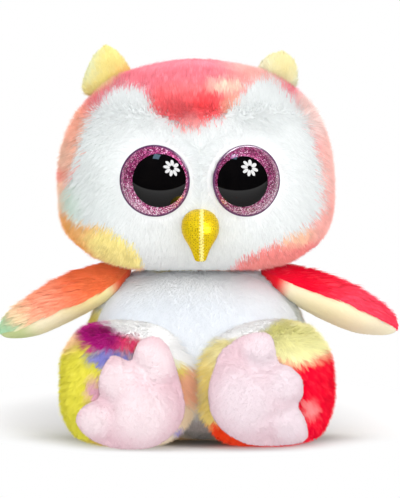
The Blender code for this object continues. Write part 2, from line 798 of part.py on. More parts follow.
def shoulder(torso, side, height):
    """The wing's hinge point, just off the body's side, where the wing's root lies on the shoulder."""
    way = Vector((side * math.cos(height), 0, math.sin(height)))
    point = torso.surface(way)
    step = Vector((-way.z, 0, way.x)) * SEAM_GAP
    along = torso.surface((way + step).normalized()) - torso.surface((way - step).normalized())
    outward = Vector((along.z, 0, -along.x)).normalized()
    if outward.x * side < 0:
        outward.negate()
    point = point + outward * HINGE_STANDOFF
    point.y = WING_SWEEP_Y
    return point


def make_wing(name, side, torso):
    """A long-pile top, a smooth under panel and thin stuffing, on the shoulder hinge."""
    length, height, drop, roll = WINGS[name]
    hinge = pivot("wing_pivot_" + name, shoulder(torso, side, height), side * drop)
    half_length = (length + WING_NOSE) / 2
    face = Matrix.Rotation(math.pi if side < 0 else 0, 4, "Z") @ Matrix.Rotation(-roll, 4, "X")
    place = hinge.matrix_world @ face @ Matrix.Translation((half_length - WING_NOSE, 0, 0))
    outline = leaf_outline(WING_CHORD_SHARES, half_length, WING_HALF_CHORD)
    inside = shrunk(outline, WING_COVER)
    up = Matrix.Translation((0, 0, SEAM_GAP / 2))
    wall = WING_COVER + SEAM_GAP
    core = shrunk(outline, wall)

    def layer(part, frame, edge, over, below, tint=None):
        return pillow(f"wing_{part}_{name}", frame, edge, over, below, tint, puff=THIN_ROOT)

    hollow = layer("hollow", place, inside, WING_TOP_DEPTH - WING_COVER, WING_UNDER_DEPTH - WING_COVER)
    top_tint = "orange_plush" if side < 0 else "red_plush"
    top = layer("top", place @ up, outline, WING_TOP_DEPTH, 0, top_tint)
    under = layer("under", place @ up.inverted(), outline, 0, WING_UNDER_DEPTH, "cream_velboa")
    stuffing = layer("stuffing", place, core, WING_TOP_DEPTH - wall, WING_UNDER_DEPTH - wall, "fibre")
    hang_on(hinge, [cut(top, hollow), cut(under, hollow), stuffing])


def main():
    for old in list(bpy.data.objects):
        bpy.data.objects.remove(old)
    torso = torso_form()
    make_torso()
    torso_clear = form_piece("torso_clear", torso.inset(-SEAM_GAP), FORM_SEGMENTS, FORM_RINGS)
    for name, side in SIDES.items():
        make_leg(name, side, torso_clear)
        make_wing(name, side, torso)
    make_head()


main()
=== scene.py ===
"""A seated plush owl. Pile is grown on its sewn panels, and the eyes, beak, ears, wings and feet are made
to the same plan as the solids that they stand for. Metres, +Z up, face towards -Y."""

import json
import math

import bmesh
import bpy
import numpy as np
from mathutils import Matrix, Vector


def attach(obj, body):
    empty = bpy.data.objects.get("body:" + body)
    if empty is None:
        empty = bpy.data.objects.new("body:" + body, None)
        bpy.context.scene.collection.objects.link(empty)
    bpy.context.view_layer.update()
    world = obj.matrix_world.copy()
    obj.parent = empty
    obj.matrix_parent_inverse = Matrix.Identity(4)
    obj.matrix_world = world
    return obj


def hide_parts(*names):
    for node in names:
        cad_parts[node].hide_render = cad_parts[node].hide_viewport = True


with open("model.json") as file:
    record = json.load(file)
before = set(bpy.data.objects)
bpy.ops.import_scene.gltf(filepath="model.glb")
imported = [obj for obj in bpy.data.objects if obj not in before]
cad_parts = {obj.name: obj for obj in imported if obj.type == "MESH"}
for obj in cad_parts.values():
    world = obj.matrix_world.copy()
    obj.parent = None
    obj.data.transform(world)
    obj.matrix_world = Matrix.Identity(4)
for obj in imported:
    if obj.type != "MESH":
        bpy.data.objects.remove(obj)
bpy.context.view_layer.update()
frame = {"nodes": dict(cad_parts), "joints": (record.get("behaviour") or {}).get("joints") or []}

# Body
TORSO_HALF_WIDTH = 0.0425
TORSO_FRONT = 0.0350
TORSO_BACK = 0.0370
TORSO_MIDDLE_Y = 0.0030
TORSO_MIDDLE_Z = 0.0300
SIDE_SEAM_Y = -0.0080
BASE_SEAM_Z = 0.0060
SEAT_TRIM = 0.0005
NECK_TRIM = 0.0010
NECK_Z = 0.0660

# Head
HEAD_HALF_WIDTH = 0.0520
HEAD_FRONT = 0.0400
HEAD_BACK = 0.0420
HEAD_MIDDLE_Z = 0.0970
HEAD_RISE = 0.0480
EAR_SEAM_Y = 0.0060

# Legs and feet
LEG_HALF_WIDTH = 0.0250
LEG_SPREAD = 0.0262
LEG_FRONT = 0.0200
LEG_BACK = 0.0180
LEG_MIDDLE_Y = -0.0240
LEG_MIDDLE_Z = 0.0240
LEG_RISE = 0.0242
FOOT_SOLE_Y = -0.0465
FOOT_SOLE_DEPTH = 0.0075
FOOT_UPPER_DEPTH = 0.0065
HEEL_RADIUS = 0.0152
FOOT_LEAN = math.radians(6)

# Wings
# Length, how far it hangs, and how far its front edge is lifted.
WINGS = {"left": (0.0480, math.radians(29), 0.0), "right": (0.0460, math.radians(26), math.radians(14))}
WING_HALF_CHORD = 0.0145
WING_TOP_DEPTH = 0.0080
WING_UNDER_DEPTH = 0.0052
WING_NOSE = 0.0050
WING_TUCK = {"left": 0.0040, "right": 0.0070}  # how far its root is tucked in under the head
WING_DROOP = 0.0026  # how far its front edge hangs at the root
WING_TIP_LIFT = 0.0016

# Ears
EAR_HALF_WIDTH = 0.0114
EAR_DEPTH = 0.0040
EAR_ROOT_SINK = 0.0055
EAR_TIP_SHIFT = 0.0028
# How far out it stands, its height and its tilt.
EARS = {"left": (0.0330, 0.0190, math.radians(14)), "right": (0.0302, 0.0150, math.radians(6))}

# Eyes
EYE_RADIUS = 0.0136
EYE_SPREAD = {-1: 0.0174, 1: 0.0178}
EYE_RISE = 0.0043
EYE_SINK = {-1: 0.0021, 1: 0.0012}
EYE_TOE_OUT = {-1: math.radians(14), 1: math.radians(19)}
EYE_DOME = 0.0076
PUPIL_RADIUS = {-1: 0.0101, 1: 0.0096}
PUPIL_PROUD = 0.00006
PUPIL_TURN = {-1: math.radians(11.4), 1: math.radians(13.2)}  # nearer to the beak
PUPIL_LIFT = {"left": math.radians(1.6), "right": math.radians(0)}
EYE_CLEAR = 0.0002
EYE_EDGE = 0.0006  # rounding of the disc's edge
EYE_BACK = 0.0022  # how far the disc goes behind its seat
PUPIL_WALL = 0.0026
FACE_TURN = math.radians(1.6)  # the eyes and beak sit a little off the middle

# Beak
BEAK_HALF_WIDTH = 0.0072
BEAK_HEIGHT = 0.0200
BEAK_REACH = 0.0110
BEAK_DROP = 0.0060
BEAK_GAP = 0.00003
BEAK_SEAM_WIDTH = 0.0009
BEAK_SEAM_PROUD = 0.0004

# Cloth
CLOTH = 0.0009  # wall of a panel under its pile
ROOT_SINK = 0.0002
SEAT_CLEAR = 0.00015
SMALL = 1e-9

# Fullness is the exponent of a form: 2 is an ellipsoid, more is boxier.
TORSO_FULLNESS = {"front": 2.3, "back": 2.2, "rise": 2.7, "drop": 3.2}
HEAD_FULLNESS = {"front": 2.5, "back": 2.2, "rise": 2.3, "drop": 3.0}
LEG_FULLNESS = {"front": 2.6, "back": 2.4, "rise": 2.5, "drop": 2.9}

# The seam round the mask, seen from the front: across and up in millimetres.
MASK_SEAM = [
    (-1.9, 121.5), (3.0, 123.7), (11.0, 126.9), (15.6, 131.9), (20.1, 136.3), (24.7, 138.0),
    (29.6, 137.3), (35.3, 132.2), (40.3, 124.6), (43.7, 116.8), (46.4, 107.3), (47.5, 97.7),
    (46.4, 91.0), (43.3, 86.4), (36.9, 81.4), (27.4, 76.3), (16.0, 71.2), (8.0, 60.0),
    (-16.0, 60.0), (-23.6, 70.9), (-27.4, 74.2), (-36.5, 80.8), (-45.7, 83.6), (-49.0, 87.8),
    (-50.4, 92.4), (-49.2, 98.2), (-44.8, 114.5), (-42.2, 122.6), (-37.2, 129.4), (-30.0, 135.1),
    (-21.7, 134.5), (-17.9, 131.8), (-15.6, 126.8), (-9.9, 124.4),
]

# How far the pile's seam lies from the cloth's, low on the left cheek.
MASK_SHIFT = np.array([-0.0028, 0.0, -0.0030])

# A foot's outline: degrees from straight up towards the outer side, and shares of the heel's radius.
FOOT_SHARES = {
    "left": [
        (-9, 1.70), (5, 1.52), (16, 1.12), (32, 1.42), (50, 1.34), (66, 1.22), (82, 1.12), (94, 1.54),
        (105, 1.74), (122, 1.60), (142, 1.36), (163, 1.18), (190, 1.10), (213, 1.06), (238, 1.05),
        (261, 1.04), (282, 1.01), (304, 1.07), (322, 1.26), (338, 1.56),
    ],
    "right": [
        (-11, 1.56), (5, 1.66), (17, 1.62), (34, 1.14), (50, 1.24), (67, 1.33), (84, 1.27), (98, 1.15),
        (112, 1.42), (125, 1.68), (139, 1.50), (161, 1.22), (185, 1.12), (205, 1.07), (225, 1.07),
        (247, 1.08), (267, 1.09), (288, 1.13), (310, 1.22), (327, 1.41),
    ],
}
FOOT_MIDDLE = {"left": (-0.0202, 0.0178), "right": (0.0208, 0.0196)}
# The heel's and the toes' swells in millimetres from the foot's middle: across, up and radius.
FOOT_SWELLS = {
    "left": [(-1.0, -3.5, 15.5), (3.5, 16.0, 10.4), (-9.6, 9.2, 9.6), (-18.4, -6.4, 8.4)],
    "right": [(-2.5, -0.5, 16.0), (4.0, 18.0, 9.2), (12.2, 6.0, 9.4), (14.4, -8.8, 9.4)],
}
# The creases between the toes, from the foot's edge inwards.
FOOT_CREASES = {
    "left": [
        [(-5.8, 17.5), (-2.3, 15.4), (0.7, 12.7), (2.6, 9.6)], [(-16.5, 3.4), (-12.5, 0.2), (-11.6, -4.0)]
    ],
    "right": [
        [(11.0, 15.2), (2.0, 12.2), (-2.4, 14.2), (-4.4, 18.6)], [(18.0, -1.6), (11.0, -6.0), (5.0, -7.6)]
    ],
}

WING_CHORD_SHARES = [0.0, 0.66, 0.80, 0.92, 1.0, 1.0, 0.96, 0.86, 0.66, 0.0]
EAR_WIDTH_SHARES = {
    "left": [0.0, 0.88, 1.0, 0.97, 0.90, 0.80, 0.68, 0.55, 0.38, 0.0],
    "right": [0.0, 0.90, 1.0, 0.98, 0.92, 0.85, 0.76, 0.65, 0.50, 0.0],
}
BEAK_WIDTH_SHARES = [0.30, 0.76, 0.95, 1.0, 0.97, 0.84, 0.64, 0.48, 0.36, 0.24]
BEAK_FRONT_SHARES = [0.20, 0.55, 0.82, 0.97, 1.0, 0.95, 0.86, 0.76, 0.68, 0.60]
BEAK_BACK_SHARES = [-0.30, -0.35, -0.35, -0.30, -0.20, -0.05, 0.12, 0.28, 0.40, 0.50]

SIDES = {"left": -1, "right": 1}
UP = np.array([0.0, 0.0, 1.0])


def unit(ways):
    return ways / np.maximum(np.linalg.norm(ways, axis=-1, keepdims=True), SMALL)


def eased(values, low, high):
    """0 below low, 1 above high, and a smooth step between them."""
    share = np.clip((values - low) / (high - low), 0, 1)
    return share * share * (3 - 2 * share)


class Form:
    """A stuffed shape about a centre, with its own reach and fullness each way."""

    def __init__(self, centre, half_width, front, back, rise, drop, fullness):
        self.centre = np.array(centre)
        self.reach = (half_width, front, back, rise, drop)
        self.fullness = fullness

    def inset(self, amount):
        return Form(self.centre, *(value - amount for value in self.reach), self.fullness)

    def surface(self, ways):
        """The surface points in these directions from the centre."""
        half_width, front, back, rise, drop = self.reach
        ahead = ways[:, 1] < 0
        over = ways[:, 2] > 0
        plan = np.where(ahead, self.fullness["front"], self.fullness["back"])
        tall = np.where(over, self.fullness["rise"], self.fullness["drop"])
        depth = np.where(ahead, front, back)
        height = np.where(over, rise, drop)
        level = np.abs(ways[:, 0] / half_width) ** plan + np.abs(ways[:, 1] / depth) ** plan
        size = (level ** (tall / plan) + np.abs(ways[:, 2] / height) ** tall) ** (1 / tall)
        return self.centre + ways / size[:, None]

    def front_point(self, x, z):
        """The point of the front surface at this x and z."""
        low, high = 0.0, self.reach[1] * 2
        for _ in range(40):
            depth = (low + high) / 2
            way = np.array([[x, -depth, z]]) - self.centre * np.array([1, 0, 1])
            inside = np.linalg.norm(way) < np.linalg.norm(self.surface(way)[0] - self.centre)
            low, high = (depth, high) if inside else (low, depth)
        return np.array([x, self.centre[1] - depth, z])


def torso_form():
    reach = (TORSO_HALF_WIDTH, TORSO_FRONT, TORSO_BACK)
    heights = (NECK_Z + NECK_TRIM - TORSO_MIDDLE_Z, TORSO_MIDDLE_Z + SEAT_TRIM)
    return Form((0, TORSO_MIDDLE_Y, TORSO_MIDDLE_Z), *reach, *heights, TORSO_FULLNESS)


def head_form():
    reach = (HEAD_HALF_WIDTH, HEAD_FRONT, HEAD_BACK)
    heights = (HEAD_RISE, HEAD_MIDDLE_Z - NECK_Z + NECK_TRIM)
    return Form((0, 0, HEAD_MIDDLE_Z), *reach, *heights, HEAD_FULLNESS)


def leg_form(side):
    centre = (side * LEG_SPREAD, LEG_MIDDLE_Y, LEG_MIDDLE_Z)
    heights = (LEG_RISE, LEG_MIDDLE_Z + SEAT_TRIM)
    return Form(centre, LEG_HALF_WIDTH, LEG_FRONT, LEG_BACK, *heights, LEG_FULLNESS)


def ripple(places, size, seed):
    """Smooth unevenness from about -1 to 1, with swells of this size."""
    rng = np.random.default_rng(seed)
    total = np.zeros(len(places))
    for _ in range(7):
        way = unit(rng.normal(size=3)) * math.tau / size * rng.uniform(0.6, 1.3)
        total += np.sin(places @ way + rng.uniform(0, math.tau))
    return total / 3.2


def points_of(matrix, places):
    """Places moved by a matrix."""
    table = np.array(matrix)
    return places @ table[:3, :3].T + table[:3, 3]


def smooth_line(points, steps):
    """Points along a closed Catmull-Rom curve through the given ones."""
    points = np.array(points, float)
    before, after, last = (np.roll(points, shift, 0) for shift in (1, -1, -2))
    line = []
    for t in np.arange(steps) / steps:
        bend = (before * 2 - points * 5 + after * 4 - last) * t**2
        turn = (points * 3 - before - after * 3 + last) * t**3
        line.append((points * 2 + (after - before) * t + bend + turn) / 2)
    return np.stack(line, 1).reshape(-1, 2)


def reach_at(line, angles):
    """How far a line round the origin lies from it, at these angles."""
    around = np.unwrap(np.arctan2(line[:, 1], line[:, 0]))
    order = np.argsort(around % math.tau)
    return np.interp(
        angles % math.tau, (around % math.tau)[order], np.hypot(*line.T)[order], period=math.tau
    )


def leaf_line(shares, half_length, half_width):
    """A leaf's outline from the half widths along it."""
    along = np.linspace(-half_length, half_length, len(shares))
    fine = np.linspace(0, len(shares) - 1, 91)
    width = np.interp(fine, np.arange(len(shares)), shares) * half_width
    # Round off the table's corners.
    for _ in range(30):
        width[1:-1] = (width[:-2] + width[1:-1] * 2 + width[2:]) / 4
    x = np.interp(fine, np.arange(len(shares)), along)
    upper = np.stack([x, width], 1)
    return np.concatenate([upper, (upper * (1, -1))[-2:0:-1]])


def ball(segments, rings):
    bm = bmesh.new()
    bmesh.ops.create_uvsphere(bm, u_segments=segments, v_segments=rings, radius=1)
    return bm


def reshape(bm, change):
    """Moves every vertex to where change puts it."""
    places = change(np.array([vert.co for vert in bm.verts]))
    for vert, place in zip(bm.verts, places):
        vert.co = place
    return bm


def cushion(line, top, under, calm=0, spread=0.8, rise=0.9, root_rise=0.9, sculpt=None):
    """A domed cushion in the XY plane whose edge follows the line. Its middle is round if calm is set."""

    def change(ways):
        angles = np.arctan2(ways[:, 1], ways[:, 0])
        lift = np.arcsin(np.clip(np.abs(ways[:, 2]), 0, 1))
        share = np.cos(lift) ** spread
        reach = reach_at(line, angles)
        if calm:
            reach = calm + (reach - calm) * share**1.5
        power = rise + (root_rise - rise) * (1 - np.cos(angles)) / 2
        height = np.sin(lift) ** power * np.where(ways[:, 2] > 0, top, -under)
        if sculpt is not None:
            height = height * sculpt(reach * share * np.cos(angles), reach * share * np.sin(angles))
        return np.stack([reach * share * np.cos(angles), reach * share * np.sin(angles), height], 1)

    return reshape(ball(128, 48), change)


def trim(bm, place, away):
    """Cuts off what lies past a plane, on the side that away points to."""
    geom = bm.verts[:] + bm.edges[:] + bm.faces[:]
    bmesh.ops.bisect_plane(bm, geom=geom, plane_co=place, plane_no=away, clear_outer=True, dist=SMALL)
    return bm


def keep_faces(bm, test):
    """Keeps the faces whose middles pass the test."""
    middles = np.array([face.calc_center_median() for face in bm.faces])
    lost = [face for face, kept in zip(bm.faces[:], test(middles)) if not kept]
    bmesh.ops.delete(bm, geom=lost, context="FACES")
    return bm


def add_object(name, bm, material, body):
    mesh = bpy.data.meshes.new(name)
    bm.to_mesh(mesh)
    bm.free()
    return place_mesh(name, mesh, material, body)


def place_mesh(name, mesh, material, body):
    made = bpy.data.objects.new(name, mesh)
    bpy.context.scene.collection.objects.link(made)
    mesh.materials.append(material)
    mesh.shade_smooth()
    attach(made, body)
    return made


def mark_fibres(mesh, roots, strands):
    """Stores where each point's fibre is rooted, and its place along it, its own and its tuft's chance."""
    mesh.attributes.new("root", "FLOAT_VECTOR", "POINT").data.foreach_set(
        "vector", roots.astype(np.float32).ravel()
    )
    mesh.attributes.new("strand", "FLOAT_VECTOR", "POINT").data.foreach_set(
        "vector", strands.astype(np.float32).ravel()
    )


def add_panel(name, bm, material, body, stands_for, wall=CLOTH):
    """A cloth panel with its wall thickness; it takes the place of CAD nodes."""
    made = add_object(name, bm, material, body)
    mesh = made.data
    places = mesh_points(mesh)
    # The cloth is coloured as the roots of its fibres, with their painted shade.
    strands = np.tile((0.0, 0.5, 0.5), (len(places), 1))
    mark_fibres(mesh, places, strands)
    if wall:
        thick = made.modifiers.new("wall", "SOLIDIFY")
        thick.thickness = wall
        thick.offset = -1
    if stands_for:
        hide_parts(*stands_for)
    return made


def mesh_points(mesh):
    places = np.empty(len(mesh.vertices) * 3, np.float32)
    mesh.vertices.foreach_get("co", places)
    return places.reshape(-1, 3).astype(float)


# How each pile is laid: metres between roots, length and width of a fibre, its lean in degrees and how
# much that varies, its bend towards the cloth, the size of a tuft, how far the tips of a tuft draw
# together as a share, how far a tuft strays from the comb as a share, and steps along a fibre.
PILES = {
    "mask": (0.00037, 0.0026, 0.00032, 65, 5, 0, 0.0016, 0.15, 0.10, 1),
    "crown": (0.00036, 0.0032, 0.00040, 66, 5, 0, 0.0016, 0.18, 0.10, 1),
    "nape": (0.00042, 0.0034, 0.00044, 66, 5, 0, 0.0018, 0.16, 0.10, 1),
    "belly": (0.00035, 0.0021, 0.00034, 67, 3, 0, 0.0014, 0.10, 0.10, 1),
    "flank": (0.00042, 0.0034, 0.00042, 65, 7, 0, 0.0018, 0.26, 0.18, 1),
    "seat": (0.00060, 0.0020, 0.00050, 74, 5, 0, 0.0020, 0.30, 0.20, 1),
    "leg": (0.00037, 0.0034, 0.00042, 62, 6, 0, 0.0017, 0.18, 0.16, 1),
    "wing": (0.00046, 0.0066, 0.00046, 73, 5, 8, 0.0022, 0.30, 0.10, 2),
    "velboa": (0.00040, 0.0008, 0.00036, 66, 6, 0, 0.0012, 0.15, 0.15, 1),
    "velour": (0.00032, 0.0011, 0.00042, 62, 7, 0, 0.0014, 0.05, 0.25, 1),
    "ear": (0.00034, 0.0023, 0.00038, 64, 6, 0, 0.0015, 0.15, 0.12, 1),
}


def ordered_triangles(mesh, places):
    """The mesh's triangles in order of place, each face fanned from its first corner in that order.

    A bmesh can give its faces and their corners in another order each run, and the pile doesn't follow that.
    """
    rank = np.empty(len(places), np.int64)
    rank[np.lexsort(np.round(places, 6).T)] = np.arange(len(places))
    triangles = []
    for face in mesh.polygons:
        ring = list(face.vertices)
        first = int(np.argmin(rank[ring]))
        ring = ring[first:] + ring[:first]
        triangles += [(ring[0], *pair) for pair in zip(ring[1:], ring[2:])]
    triangles = np.array(triangles)
    return triangles[np.lexsort(rank[triangles].T[::-1])]


def scatter(mesh, spacing, rng):
    """Evenly spread points on a mesh, with the normals there."""
    places = mesh_points(mesh)
    corners = ordered_triangles(mesh, places)
    count = len(corners)
    normals = np.empty(len(places) * 3, np.float32)
    mesh.vertex_normals.foreach_get("vector", normals)
    normals = normals.reshape(-1, 3).astype(float)
    a, b, c = (places[corners[:, index]] for index in range(3))
    area = np.linalg.norm(np.cross(b - a, c - a), axis=1) / 2
    total = np.cumsum(area)
    wanted = int(total[-1] / spacing**2)
    picks = (np.arange(wanted) + rng.uniform(size=wanted)) / wanted * total[-1]
    faces = np.minimum(np.searchsorted(total, picks), count - 1)
    u, v = rng.uniform(size=(2, wanted))
    flip = u + v > 1
    u, v = np.where(flip, 1 - u, u), np.where(flip, 1 - v, v)
    weights = np.stack([1 - u - v, u, v], 1)[:, :, None]
    chosen = corners[faces]
    return (places[chosen] * weights).sum(1), unit((normals[chosen] * weights).sum(1))


def tufts_of(roots, size, seed):
    """A tuft's number for each root, on a grid with wandering edges."""
    wander = np.stack([ripple(roots, size * 2.3, seed + turn) for turn in range(3)], 1) * size * 0.45
    cells = np.floor((roots + wander) / size + 500).astype(np.int64)
    keys = (cells[:, 0] * 1009 + cells[:, 1]) * 1009 + cells[:, 2]
    return np.unique(keys, return_inverse=True)[1]


def tuft_mean(values, tufts):
    count = np.bincount(tufts)[:, None]
    sums = np.stack([np.bincount(tufts, values[:, axis]) for axis in range(values.shape[1])], 1)
    return (sums / count)[tufts]


def grow_pile(
    name, mesh, kind, comb, material, body, slot, seed, keep=None, length_of=None, clear=None, stand=0.0,
    flare=0.0,
):
    """Fibres of one kind over a cloth mesh, combed the way and as strongly as comb gives, as one object.

    They stand more upright where the cloth faces up, by the share stand, and to the sides, by the
    share flare.
    On the very top of a form they lie down again.
    """
    spacing, length, width, lean, lean_spread, bend, tuft, draw, stray, steps = PILES[kind]
    rng = np.random.default_rng(seed)
    roots, normals = scatter(mesh, spacing, rng)
    if keep is not None:
        kept = keep(roots)
        roots, normals = roots[kept], normals[kept]
    count = len(roots)
    tufts = tufts_of(roots, tuft, seed)
    groups = tufts.max() + 1
    chance = rng.uniform(size=groups)[tufts]
    own = rng.uniform(size=count)
    ways = comb(roots, normals)
    strength = np.linalg.norm(ways, axis=1)
    ways = unit(ways)
    aside = np.cross(normals, ways)
    swing = rng.normal(size=groups)[tufts] * stray + rng.normal(size=count) * stray * 0.6
    ways = unit(ways + aside * swing[:, None])
    angle = np.radians(
        lean + rng.normal(size=count) * lean_spread + rng.normal(size=groups)[tufts] * lean_spread * 0.7
    )
    facing_up = eased(normals[:, 2], 0.25, 0.95) * (1 - eased(normals[:, 2], 0.86, 0.98))
    facing_aside = eased(np.abs(normals[:, 0]), 0.5, 0.95)
    upright = np.maximum(stand * facing_up, flare * facing_aside)
    angle = angle * (1 - upright) * strength
    long = length * rng.uniform(0.78, 1.12, count) * (0.88 + 0.24 * chance)
    if length_of is not None:
        long = long * length_of(roots)
    # The line of each fibre, from its root to its tip.
    line = [roots - normals * ROOT_SINK]
    for step in range(steps):
        now = angle + np.radians(bend) * ((step + 0.5) / steps - 0.5) * 2
        now = np.minimum(now, math.radians(86))
        reach = (long / steps)[:, None]
        line.append(line[-1] + (normals * np.cos(now)[:, None] + ways * np.sin(now)[:, None]) * reach)
    for step in range(1, steps + 1):
        pull = draw * step / steps
        line[step] = line[step] * (1 - pull) + tuft_mean(line[step], tufts) * pull
    heading = unit(line[-1] - line[0])
    across = unit(np.cross(heading, normals))
    over = np.cross(across, heading)
    half = (width * rng.uniform(0.75, 1.2, count) / 2)[:, None]
    points, shades, spots = [], [], []
    for step in range(steps):
        share = 1 - 0.35 * step / steps
        start = line[step]
        points += [
            start + across * half * share, start - across * half * share,
            start + over * half * share * 0.45,
        ]
        shades += [step / steps] * 3
        low = 0.14 + 0.7 * step / steps
        spots += [(0.5 + 0.36 * share, low), (0.5 - 0.36 * share, low), (0.5, low)]
    points.append(line[-1])
    shades.append(1.0)
    spots.append((0.5, 0.86))
    sides = []
    for step in range(steps - 1):
        a, b, c = step * 3, step * 3 + 1, step * 3 + 2
        for left, right in ((a, c), (c, b), (b, a)):
            sides += [(left, left + 3, right + 3), (left, right + 3, right)]
    a, b, c, tip = steps * 3 - 3, steps * 3 - 2, steps * 3 - 1, steps * 3
    sides += [(a, tip, c), (c, tip, b), (b, tip, a)]
    per = len(points)
    places = np.stack(points, 1)
    if clear is not None:
        places = clear(places.reshape(-1, 3)).reshape(count, per, 3)
    places = places.reshape(-1, 3)
    faces = (np.array(sides)[None] + (np.arange(count) * per)[:, None, None]).reshape(-1, 3)
    made = mesh_of(name, places, faces)
    dyed = roots * 0.35 + tuft_mean(roots, tufts) * 0.65 + (rng.normal(size=(groups, 3)) * 0.0006)[tufts]
    strands = np.stack(
        [np.tile(shades, (count, 1)), np.repeat(own[:, None], per, 1), np.repeat(chance[:, None], per, 1)],
        2,
    )
    mark_fibres(made, np.repeat(dyed, per, 0), strands.reshape(-1, 3))
    lay_map(made, faces, roots, np.array(spots), count)
    pile = place_mesh(name, made, material, body)
    made.shade_flat()
    return pile


def mesh_of(name, places, faces):
    made = bpy.data.meshes.new(name)
    made.vertices.add(len(places))
    made.vertices.foreach_set("co", places.astype(np.float32).ravel())
    made.loops.add(faces.size)
    made.loops.foreach_set("vertex_index", faces.astype(np.int32).ravel())
    made.polygons.add(len(faces))
    made.polygons.foreach_set("loop_start", np.arange(len(faces), dtype=np.int32) * 3)
    made.update(calc_edges=True)
    return made


def lay_map(mesh, faces, roots, spots, count):
    """Gives each fibre its own square of the map, with its neighbours around it."""
    middle = roots - roots.mean(0)
    ways = np.linalg.svd(middle.T @ middle)[0]
    u, v = middle @ ways[:, 0], middle @ ways[:, 1]
    cells = math.ceil(math.sqrt(count))
    column = np.empty(count, np.int64)
    column[np.argsort(u)] = np.arange(count) // cells
    order = np.lexsort((v, column))
    row = np.empty(count, np.int64)
    row[order] = np.arange(count) % cells
    corner = np.stack([column, row], 1)[:, None, :]
    spread = ((corner + spots[None]) / cells).reshape(-1, 2)
    layer = mesh.uv_layers.new(name="OFBake")
    layer.uv.foreach_set("vector", spread[faces.ravel()].astype(np.float32).ravel())


def seen(red, green, blue, value=1.0):
    """A colour given as it is seen, 0 to 255, as linear values."""
    out = []
    for channel in (red, green, blue):
        share = channel / 255
        out.append((share / 12.92 if share <= 0.04045 else ((share + 0.055) / 1.055) ** 2.4) * value)
    return (*out, 1.0)


def add_node(tree, kind, inputs=None, **settings):
    made = tree.nodes.new("ShaderNode" + kind)
    for name, value in settings.items():
        setattr(made, name, value)
    for key, value in (inputs or {}).items():
        if isinstance(value, bpy.types.NodeSocket):
            tree.links.new(value, made.inputs[key])
        else:
            made.inputs[key].default_value = value
    return made


def mixed(tree, factor, first, second, blend="MIX"):
    """The colour that a mix of two colours puts out."""
    return add_node(
        tree, "Mix", {0: factor, 6: first, 7: second}, data_type="RGBA", blend_type=blend
    ).outputs[2]


def maths(tree, operation, *values):
    return add_node(tree, "Math", dict(enumerate(values)), operation=operation).outputs[0]


def ranged(tree, value, low, high, to_low, to_high, smooth=False):
    inputs = {"Value": value, "From Min": low, "From Max": high, "To Min": to_low, "To Max": to_high}
    way = "SMOOTHSTEP" if smooth else "LINEAR"
    return add_node(tree, "MapRange", inputs, interpolation_type=way).outputs[0]


def new_group(name, inputs, outputs):
    """A shader node group with its named sockets; returns its tree, input node and output node."""
    tree = bpy.data.node_groups.new(name, "ShaderNodeTree")
    for socket, kind, value in inputs:
        made = tree.interface.new_socket(socket, in_out="INPUT", socket_type="NodeSocket" + kind)
        if value is not None:
            made.default_value = value
    for socket, kind in outputs:
        tree.interface.new_socket(socket, in_out="OUTPUT", socket_type="NodeSocket" + kind)
    return tree, tree.nodes.new("NodeGroupInput"), tree.nodes.new("NodeGroupOutput")


def make_dye_and_painted_light_patch():
    """One soft-edged patch of dye, or of painted light or shade, over the colour under it."""
    inputs = [
        ("Under", "Color", None), ("Place", "Vector", None), ("Centre", "Vector", None),
        ("Reach", "Vector", (1, 1, 1)), ("Tint", "Color", None), ("Softness", "Float", 0.3),
    ]
    tree, given, out = new_group("dye patch", inputs, [("Colour", "Color")])
    away = add_node(
        tree, "VectorMath", {0: given.outputs["Place"], 1: given.outputs["Centre"]}, operation="SUBTRACT"
    )
    shares = add_node(
        tree, "VectorMath", {0: away.outputs[0], 1: given.outputs["Reach"]}, operation="DIVIDE"
    )
    size = add_node(tree, "VectorMath", {0: shares.outputs[0]}, operation="LENGTH").outputs["Value"]
    near = maths(tree, "SUBTRACT", 1.0, given.outputs["Softness"])
    far = maths(tree, "ADD", 1.0, given.outputs["Softness"])
    mask = ranged(tree, size, near, far, 1.0, 0.0, smooth=True)
    tree.links.new(mixed(tree, mask, given.outputs["Under"], given.outputs["Tint"]), out.inputs[0])
    return tree


def make_wander():
    """Places that wander, so that dye edges run unevenly."""
    inputs = [("Place", "Vector", None), ("Size", "Float", 120.0), ("Amount", "Float", 0.004)]
    tree, given, out = new_group("wandering dye", inputs, [("Place", "Vector")])
    noise = add_node(
        tree, "TexNoise", {"Vector": given.outputs["Place"], "Scale": given.outputs["Size"], "Detail": 3.0}
    )
    middle = add_node(
        tree, "VectorMath", {0: noise.outputs["Color"], 1: (0.5, 0.5, 0.5)}, operation="SUBTRACT"
    )
    moved = add_node(
        tree, "VectorMath", {0: middle.outputs[0], "Scale": given.outputs["Amount"]}, operation="SCALE"
    )
    total = add_node(tree, "VectorMath", {0: given.outputs["Place"], 1: moved.outputs[0]}, operation="ADD")
    tree.links.new(total.outputs[0], out.inputs[0])
    return tree


